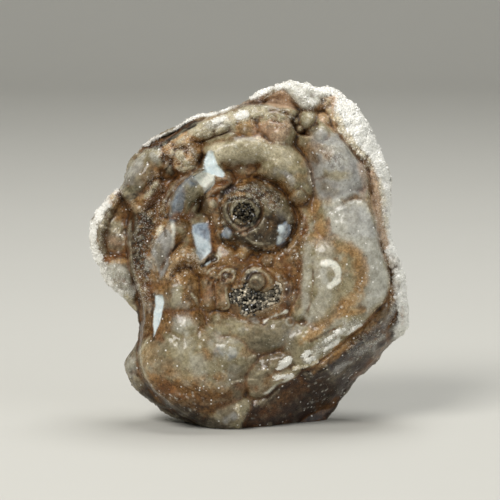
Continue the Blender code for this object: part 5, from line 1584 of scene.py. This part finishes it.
@dataclass(frozen=True)
class QuartzFinish:
    """Small clear to smoky quartz points."""

    name: str
    dark: Colour
    light: Colour
    roughness: float = 0.12
    cloud_mm: float = 0.5
    clouding: float = 0.4
    bump_cell_mm: float = 0.12
    bump: float = 0.2
    bump_mm: float = 0.04

    def build(self) -> bpy.types.Material:
        """Makes the material."""
        g = Graph(self.name)
        place = g.place()
        cloud = g.noise(place, self.cloud_mm)
        share = (g.attribute("crystal_tint") + (cloud - 0.5) * self.clouding).clamp()
        return g.finish({
            "Base Color": g.blend(share, linear(self.dark), linear(self.light)),
            "Roughness": (cloud * 0.2 + (self.roughness - 0.1)).clamp(),
            "Coat Weight": 0.5,
            "Coat Roughness": 0.08,
            "Normal": g.bump(g.noise(place, self.bump_cell_mm, 2.0), self.bump, self.bump_mm),
        })


def make_object(
    name: str, points: Array, faces: list | Array, material: bpy.types.Material
) -> bpy.types.Object:
    """Makes a mesh object.

    Args:
        name: the object's name.
        points: (n, 3) world points in metres.
        faces: lists of point numbers.
        material: its finish.

    Returns:
        The object, linked to the scene.
    """
    mesh = bpy.data.meshes.new(name)
    mesh.from_pydata(points.tolist(), [], faces.tolist() if isinstance(faces, Array) else faces)
    mesh.materials.append(material)
    made = bpy.data.objects.new(name, mesh)
    bpy.context.scene.collection.objects.link(made)
    return made


def keep(made: bpy.types.Object, name: str, values: Array) -> None:
    """Stores a number, or a colour of four parts, for every point of a mesh.

    Args:
        made: the object.
        name: the name under which its finish finds them.
        values: (n,) numbers or (n, 4) colours.
    """
    kind, part = ("FLOAT", "value") if values.ndim == 1 else ("FLOAT_COLOR", "color")
    kept = made.data.attributes.new(name, kind, "POINT")
    kept.data.foreach_set(part, values.astype(np.float32).ravel())


@dataclass
class Stone:
    """The rose itself."""

    cuts: int = 126
    front_share: float = 0.76
    wrap: float = 0.10
    frost_reach: float = 0.22
    frost_fade: float = 0.14
    frost_foot: float = 13.0
    frost_rise: float = 4.0
    speck_cell: float = 0.7
    speck_size: float = 0.45
    speck_fade: float = 0.3
    speck_share: float = 0.55
    relief: Relief = Relief()
    finish: StoneFinish = StoneFinish()
    places: Array | None = None
    world: Array | None = None
    normals: Array | None = None
    quads: Array | None = None
    painter: Painter | None = None
    frost: Array | None = None
    rough: Array | None = None

    def ball(self) -> tuple[Array, Array]:
        """An even ball of quads.

        Returns:
            (n, 3) unit vectors and (m, 4) corner numbers.
        """
        shape = bmesh.new()
        bmesh.ops.create_cube(shape, size=2.0)
        bmesh.ops.subdivide_edges(shape, edges=shape.edges[:], cuts=self.cuts, use_grid_fill=True)
        points = np.array([corner.co[:] for corner in shape.verts])
        quads = np.array([[corner.index for corner in face.verts] for face in shape.faces])
        shape.free()
        points = np.tan(points * math.pi / 4.0)
        return points / np.linalg.norm(points, axis=1)[:, None], quads

    def smooth(self, values: Array, rounds: int) -> Array:
        """Averages values with those of the neighbouring points.

        Args:
            values: one number for every point.
            rounds: how many times over.

        Returns:
            The smoothed values.
        """
        a = self.quads.ravel()
        b = np.roll(self.quads, 1, axis=1).ravel()
        count = np.bincount(a, minlength=len(values)) + np.bincount(b, minlength=len(values))
        for _ in range(rounds):
            total = np.bincount(a, values[b], len(values)) + np.bincount(b, values[a], len(values))
            values = 0.5 * values + 0.5 * total / count
        return values

    def build(self) -> bpy.types.Object:
        """Makes the stone and lays its paint on.

        Returns:
            The stone.
        """
        directions, self.quads = self.ball()
        self.places, past_rim = self.relief.points(directions, self.front_share)
        self.world = FACE.to_world(self.places)
        self.world[:, 2] = np.maximum(self.world[:, 2], 0.0)
        made = make_object("rose_stone", self.world, self.quads, self.finish.build())
        made.data.shade_smooth()
        normals = np.zeros(len(self.world) * 3, np.float32)
        made.data.vertices.foreach_get("normal", normals)
        self.normals = normals.reshape(-1, 3)
        self.paint(past_rim)
        for name in ("roughness", "grain", "glints"):
            keep(made, "stone_" + name, self.painter.total(name))
        for name in ("dark", "light"):
            keep(made, "stone_" + name, self.painter.colour(name))
        return made

    def hollowed(self, rounds: int) -> Array:
        """How many millimetres every point lies under its surroundings, below zero where it stands out."""
        moved = np.stack([self.smooth(column, rounds) for column in self.world.T], axis=1)
        return np.sum((moved - self.world) * self.normals, axis=1) / MM

    def paint(self, past_rim: Array) -> None:
        """Lays the paint on, with stains and painted shade in the creases, a painted highlight on the edges
        that stand out, and painted glints.

        Args:
            past_rim: how far each point is past the rim: below 0 on the front, 1 in the middle of the back.
        """
        front = step((self.wrap - past_rim) / (0.7 * self.wrap))
        painter = Painter(self.places)
        painter.paint_back()
        painter.paint_front(front)

        high = 0.6 * step((self.places[:, 1] - self.frost_foot) / self.frost_rise)
        ragged = 1.6 * Noise.fractal(self.places, 3.0, 3, 87)
        frosted = step((self.frost_reach - past_rim) / self.frost_fade + ragged + high)
        painter.cover(FROST, 0.85 * frosted * (1.0 - front))

        clean = sum(share * painter.share(tone) for tone, share in CLEAN.items())
        hollows = {rounds: self.hollowed(rounds) for rounds in (10, 60)}
        # Stains and painted shade in the hollows, and a painted highlight on what stands out
        for tone, share, rounds, depth, shift in STAINS_SHADE_AND_HIGHLIGHT:
            painter.cover(tone, share * step(hollows[rounds] / depth - shift) * (1.0 - clean))

        # Painted glints: pale specks laid into the colour, more of them where the tones have more glints, on
        # the ink as well
        clean -= CLEAN[INK] * painter.share(INK)
        first, mark = Noise.cells(self.places, self.speck_cell, 97)
        often = painter.total("glints") * front * np.clip(1.0 - clean, 0.0, 1.0)
        often *= step(0.5 + 1.6 * Noise.fractal(self.places, 4.0, 3, 98))
        share = step((self.speck_size - first) / self.speck_fade)
        share *= step((mark - 1.0 + 0.7 * often) / 0.3)
        painter.cover(IVORY, self.speck_share * share)

        self.painter = painter
        self.frost = painter.share(FROST) + 0.35 * painter.share(CREAM)
        self.rough = (self.relief.grain(self.places[:, :2])[1] + 0.4 * often) * front

    def dress(self, made: bpy.types.Object) -> None:
        """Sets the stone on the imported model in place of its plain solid."""
        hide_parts("chalcedony_rose")
        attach(made, "root")


@dataclass
class EyeDruse:
    """A crust of quartz points in the hollow of an eye. A pair is the least and the most of a random draw."""

    name: str
    node: str
    slot: str
    pit: Recess
    crystals: int
    radius: float
    pale_side: float
    finish: QuartzFinish
    seed: int
    tries: int = 12
    margin: float = 0.6
    up_wall: Pair = (-0.5, 0.1)
    spacing: float = 0.9
    thickness: Pair = (0.6, 1.3)
    slimness: Pair = (0.2, 2.2)
    leaning: float = 0.6
    above_floor: Pair = (0.0, 0.7)
    buried: float = 0.5
    taper: float = 0.92
    tip_height: float = 1.15

    def feet(self, draw: np.random.Generator) -> Array:
        """Picks the places that the crystals stand on.

        Args:
            draw: source of random numbers.

        Returns:
            (n, 2) places inside the pit, and a little up its wall.
        """
        corners = np.array(self.pit.corners)
        low, high = corners.min(axis=0) - self.margin, corners.max(axis=0) + self.margin
        places = draw.uniform(low, high, (self.crystals * self.tries, 2))
        depth = depth_inside(self.pit.corners, places)
        kept = []
        for place in places[depth > draw.uniform(*self.up_wall, len(places))]:
            if all(math.dist(place, other) > self.radius * self.spacing for other in kept):
                kept.append(place)
        return np.array(kept[:self.crystals])

    def crystal(self, radius: float, height: float) -> tuple[Array, list[list[int]]]:
        """A six-sided prism with a pointed end.

        Args:
            radius: from its axis to an edge.
            height: of the straight part above its foot.

        Returns:
            Its points and its faces.
        """
        turns = np.arange(6) * math.pi / 3.0
        foot = radius * np.stack([np.cos(turns), np.sin(turns), np.full(6, -self.buried)], axis=1)
        shoulder = foot * (self.taper, self.taper, 1.0) + (0.0, 0.0, height + self.buried * radius)
        tip = np.array([[0.0, 0.0, height + self.tip_height * radius]])
        sides = [[i, (i + 1) % 6, 6 + (i + 1) % 6, 6 + i] for i in range(6)]
        roof = [[6 + i, 6 + (i + 1) % 6, 12] for i in range(6)]
        return np.concatenate([foot, shoulder, tip]), [list(range(5, -1, -1)), *sides, *roof]

    def build(self) -> bpy.types.Object:
        """Makes the crust.

        Returns:
            The crust's crystals as one piece.
        """
        draw = np.random.default_rng(self.seed)
        points, faces, tints = [], [], []
        for u, v in self.feet(draw):
            radius = self.radius * draw.uniform(*self.thickness)
            shape, sides = self.crystal(radius, radius * draw.uniform(*self.slimness))
            across, up = draw.normal(0.0, self.leaning, 2)
            turn = Matrix.Rotation(across, 3, "X") @ Matrix.Rotation(up, 3, "Y")
            turn = turn @ Matrix.Rotation(draw.uniform(0.0, math.pi), 3, "Z")
            foot = np.array([u, v, self.pit.floor + draw.uniform(*self.above_floor)])
            start = len(tints)
            points.append(shape @ np.array(turn).T + foot)
            faces += [[start + corner for corner in side] for side in sides]
            pale = draw.uniform(0.0, 1.0) ** (2.6 if u < self.pale_side else 0.9)
            tints += [pale] * len(shape)
        made = make_object(self.name, FACE.to_world(np.concatenate(points)), faces, self.finish.build())
        keep(made, "crystal_tint", np.array(tints))
        return made

    def dress(self, made: bpy.types.Object) -> None:
        """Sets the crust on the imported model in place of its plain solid."""
        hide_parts(self.node)
        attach(made, "root")


@dataclass(frozen=True)
class SugarFinish:
    """Fine clear quartz, whose tints come with the mesh."""

    name: str
    roughness: float = 0.22
    cloud_mm: float = 0.3
    clouding: float = 0.25
    cloud: Colour = (250, 248, 242)

    def build(self) -> bpy.types.Material:
        """Makes the material."""
        g = Graph(self.name)
        cloud = g.noise(g.place(), self.cloud_mm, 2.0)
        tint = g.attribute("grain_tint", "Color")
        return g.finish({
            "Base Color": g.blend(cloud * self.clouding, tint, linear(self.cloud)),
            "Roughness": (cloud * 0.2 + (self.roughness - 0.1)).clamp(),
            "Coat Weight": 0.4,
            "Coat Roughness": 0.1,
        })


@dataclass
class SugarCoat:
    """Fine quartz grains that stand on the stone, each a small eight-sided crystal."""

    name: str
    grains: int
    radius: Pair
    paleness: float
    finish: SugarFinish
    seed: int
    scatter: float = 0.11
    clearance: float = 1.0
    standing: float = -0.2
    length: float = 1.35
    crowding: float = 1.5
    pale: Colour = (248, 246, 240)

    def build(self, stone: Stone, cover: Array) -> bpy.types.Object:
        """Strews the grains.

        Args:
            stone: the stone that they stand on.
            cover: how thick they stand at every point of the stone.

        Returns:
            The grains as one piece.
        """
        draw = np.random.default_rng(self.seed)
        clear = stone.world[:, 2] > self.clearance * MM
        chance = np.clip(cover, 0.0, 1.0) ** self.crowding * clear
        picked = draw.choice(len(chance), self.grains, p=chance / chance.sum())
        radius = draw.uniform(*self.radius, self.grains) * MM
        axes = np.linalg.qr(draw.normal(size=(self.grains, 3, 3)))[0] * radius[:, None, None]
        axes[:, 2] *= self.length
        normal = stone.normals[picked]
        shift = draw.normal(0.0, self.scatter * MM, (self.grains, 3))
        shift -= normal * np.sum(shift * normal, axis=1)[:, None]
        middle = (stone.world[picked] + shift + normal * radius[:, None] * self.standing)[:, None]
        points = np.concatenate([middle + axes, middle - axes], axis=1)

        # Each face joins one end of every axis. Their order turns where an odd number of them are far ends
        ends = [(i, j, k) for i in (0, 3) for j in (1, 4) for k in (2, 5)]
        order = np.array([(i, j, k) if (i + j + k) % 2 else (j, i, k) for i, j, k in ends])
        turned = np.linalg.det(axes) < 0.0
        sides = np.where(turned[:, None, None], order[:, ::-1], order)
        sides = sides + np.arange(self.grains)[:, None, None] * points.shape[1]
        made = make_object(self.name, points.reshape(-1, 3), sides.reshape(-1, 3), self.finish.build())
        pale = draw.uniform(0.0, 1.0, (self.grains, 1))
        tint = stone.painter.colour("light")[picked]
        tint += (np.array(linear(self.pale)) - tint) * pale * self.paleness
        keep(made, "grain_tint", np.repeat(tint, points.shape[1], axis=0))
        return made

    def dress(self, made: bpy.types.Object) -> None:
        """Sets the grains on the stone."""
        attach(made, "root")


@dataclass(frozen=True)
class Lamp:
    """A square soft light that faces the stone."""

    name: str
    place: Triple
    size: float
    watts: float
    tint: Triple
    aim: Triple = (0.0, 0.0, 0.03)

    def build(self) -> None:
        """Hangs the light."""
        lamp = bpy.data.lights.new(self.name, "AREA")
        lamp.size, lamp.energy, lamp.color = self.size, self.watts, self.tint
        made = bpy.data.objects.new(self.name, lamp)
        made.location = self.place
        made.rotation_euler = (Vector(self.aim) - Vector(self.place)).to_track_quat("-Z", "Y").to_euler()
        bpy.context.scene.collection.objects.link(made)


# A broad key from the upper left, a fill from the right, and a strip above
LAMPS: tuple[Lamp, ...] = (
    Lamp("key_light", (-0.30, -0.42, 0.55), 0.30, 3.9, (1.0, 0.98, 0.95)),
    Lamp("fill_light", (0.55, -0.45, 0.25), 0.50, 1.2, (0.95, 0.98, 1.0)),
    Lamp("top_light", (0.05, 0.12, 0.60), 0.35, 2.4, (1.0, 1.0, 1.0)),
)


@dataclass(frozen=True)
class Studio:
    """The plain pale floor, soft light and the camera."""

    look_at: Triple = (0.0, 30.0, -1.0)
    distance: float = 0.578
    field_mm: float = 83.33
    sensor_mm: float = 36.0
    floor_tone: Colour = (200, 199, 192)
    floor_mottle: Colour = (170, 168, 160)
    half_width: float = 1.5
    front: float = -1.2
    bend: float = 0.6
    bend_radius: float = 0.25
    wall: float = 1.6

    def floor(self) -> None:
        """A floor that sweeps up into a backdrop."""
        g = Graph("studio_paper")
        mottle = g.noise(g.place(), 60.0)
        material = g.finish({
            "Base Color": g.blend(mottle * 0.08, linear(self.floor_tone), linear(self.floor_mottle)),
            "Roughness": 0.9,
            "Specular IOR Level": 0.1,
        })
        profile = [(self.front, 0.0), (self.bend, 0.0)]
        for turn in np.radians(np.arange(6, 91, 6)):
            rise = self.bend_radius * (1.0 - math.cos(turn))
            profile.append((self.bend + self.bend_radius * math.sin(turn), rise))
        profile.append((self.bend + self.bend_radius, self.wall))
        points = np.array([(x, y, z) for y, z in profile for x in (-self.half_width, self.half_width)])
        faces = [[2 * i, 2 * i + 1, 2 * i + 3, 2 * i + 2] for i in range(len(profile) - 1)]
        made = make_object("studio_floor", points, faces, material)
        made.data.shade_smooth()

    def lights(self) -> None:
        """The lamps, and a little light from all sides."""
        for lamp in LAMPS:
            lamp.build()
        world = bpy.data.worlds.new("studio_air")
        world.use_nodes = True
        inputs = world.node_tree.nodes["Background"].inputs
        inputs["Color"].default_value = (0.90, 0.90, 0.88, 1.0)
        inputs["Strength"].default_value = 0.15
        bpy.context.scene.world = world

    def camera(self) -> None:
        """A long lens that looks square at the stone's face."""
        lens = bpy.data.cameras.new("camera")
        lens.sensor_width = self.sensor_mm
        lens.sensor_fit = "HORIZONTAL"
        lens.lens = self.sensor_mm * self.distance / (self.field_mm * MM)
        made = bpy.data.objects.new("camera", lens)
        place = FACE.matrix()
        aim = place @ (Vector(self.look_at) * MM)
        out = (place.to_3x3() @ Vector((0.0, 0.0, 1.0))).normalized()
        made.location = aim + out * self.distance
        made.rotation_euler = (-out).to_track_quat("-Z", "Y").to_euler()
        bpy.context.scene.collection.objects.link(made)
        bpy.context.scene.camera = made

    def build(self) -> None:
        """Sets up the whole studio."""
        self.floor()
        self.lights()
        self.camera()
        bpy.context.scene.view_settings.view_transform = "Standard"


def report(made: bpy.types.Object) -> None:
    """Tells which piece is made, and how many points it has."""
    log.info("%s: %d points", made.name, len(made.data.vertices))


def main() -> None:
    """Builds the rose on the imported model."""
    logging.basicConfig(level=logging.INFO, format="%(message)s")
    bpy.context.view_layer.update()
    stone = Stone()
    rose = stone.build()
    stone.dress(rose)
    report(rose)
    crusts = (
        EyeDruse("upper_eye_crystals", "upper_eye_druse", "brown_quartz", UPPER_EYE_PIT, 110, 0.19, 9.0,
                 QuartzFinish("smoky_quartz", (18, 15, 12), (128, 116, 92)), 7),
        EyeDruse("lower_eye_crystals", "lower_eye_druse", "dark_quartz", LOWER_EYE_PIT, 420, 0.24, 1.8,
                 QuartzFinish("black_quartz", (14, 12, 10), (226, 214, 190)), 11),
    )
    for crust in crusts:
        made = crust.build()
        crust.dress(made)
        report(made)
    side, up = stone.places[:, 0], stone.places[:, 1]
    outer = stone.frost * (((side > 20.0) & (up < 41.0)) | (side < -21.0))
    rim_druse = SugarFinish("rim_druse_quartz")
    coats = (
        (SugarCoat("rim_sugar", 20000, (0.10, 0.25), 0.45, SugarFinish("rim_quartz"), 21), stone.frost),
        (SugarCoat("rim_druse", 1300, (0.18, 0.36), 0.9, rim_druse, 23, standing=-0.1), outer),
        (SugarCoat("face_sugar", 9000, (0.05, 0.12), 0.35, SugarFinish("face_quartz"), 22), stone.rough),
    )
    for coat, cover in coats:
        made = coat.build(stone, cover)
        coat.dress(made)
        report(made)
    Studio().build()


if __name__ == "__main__":
    main()
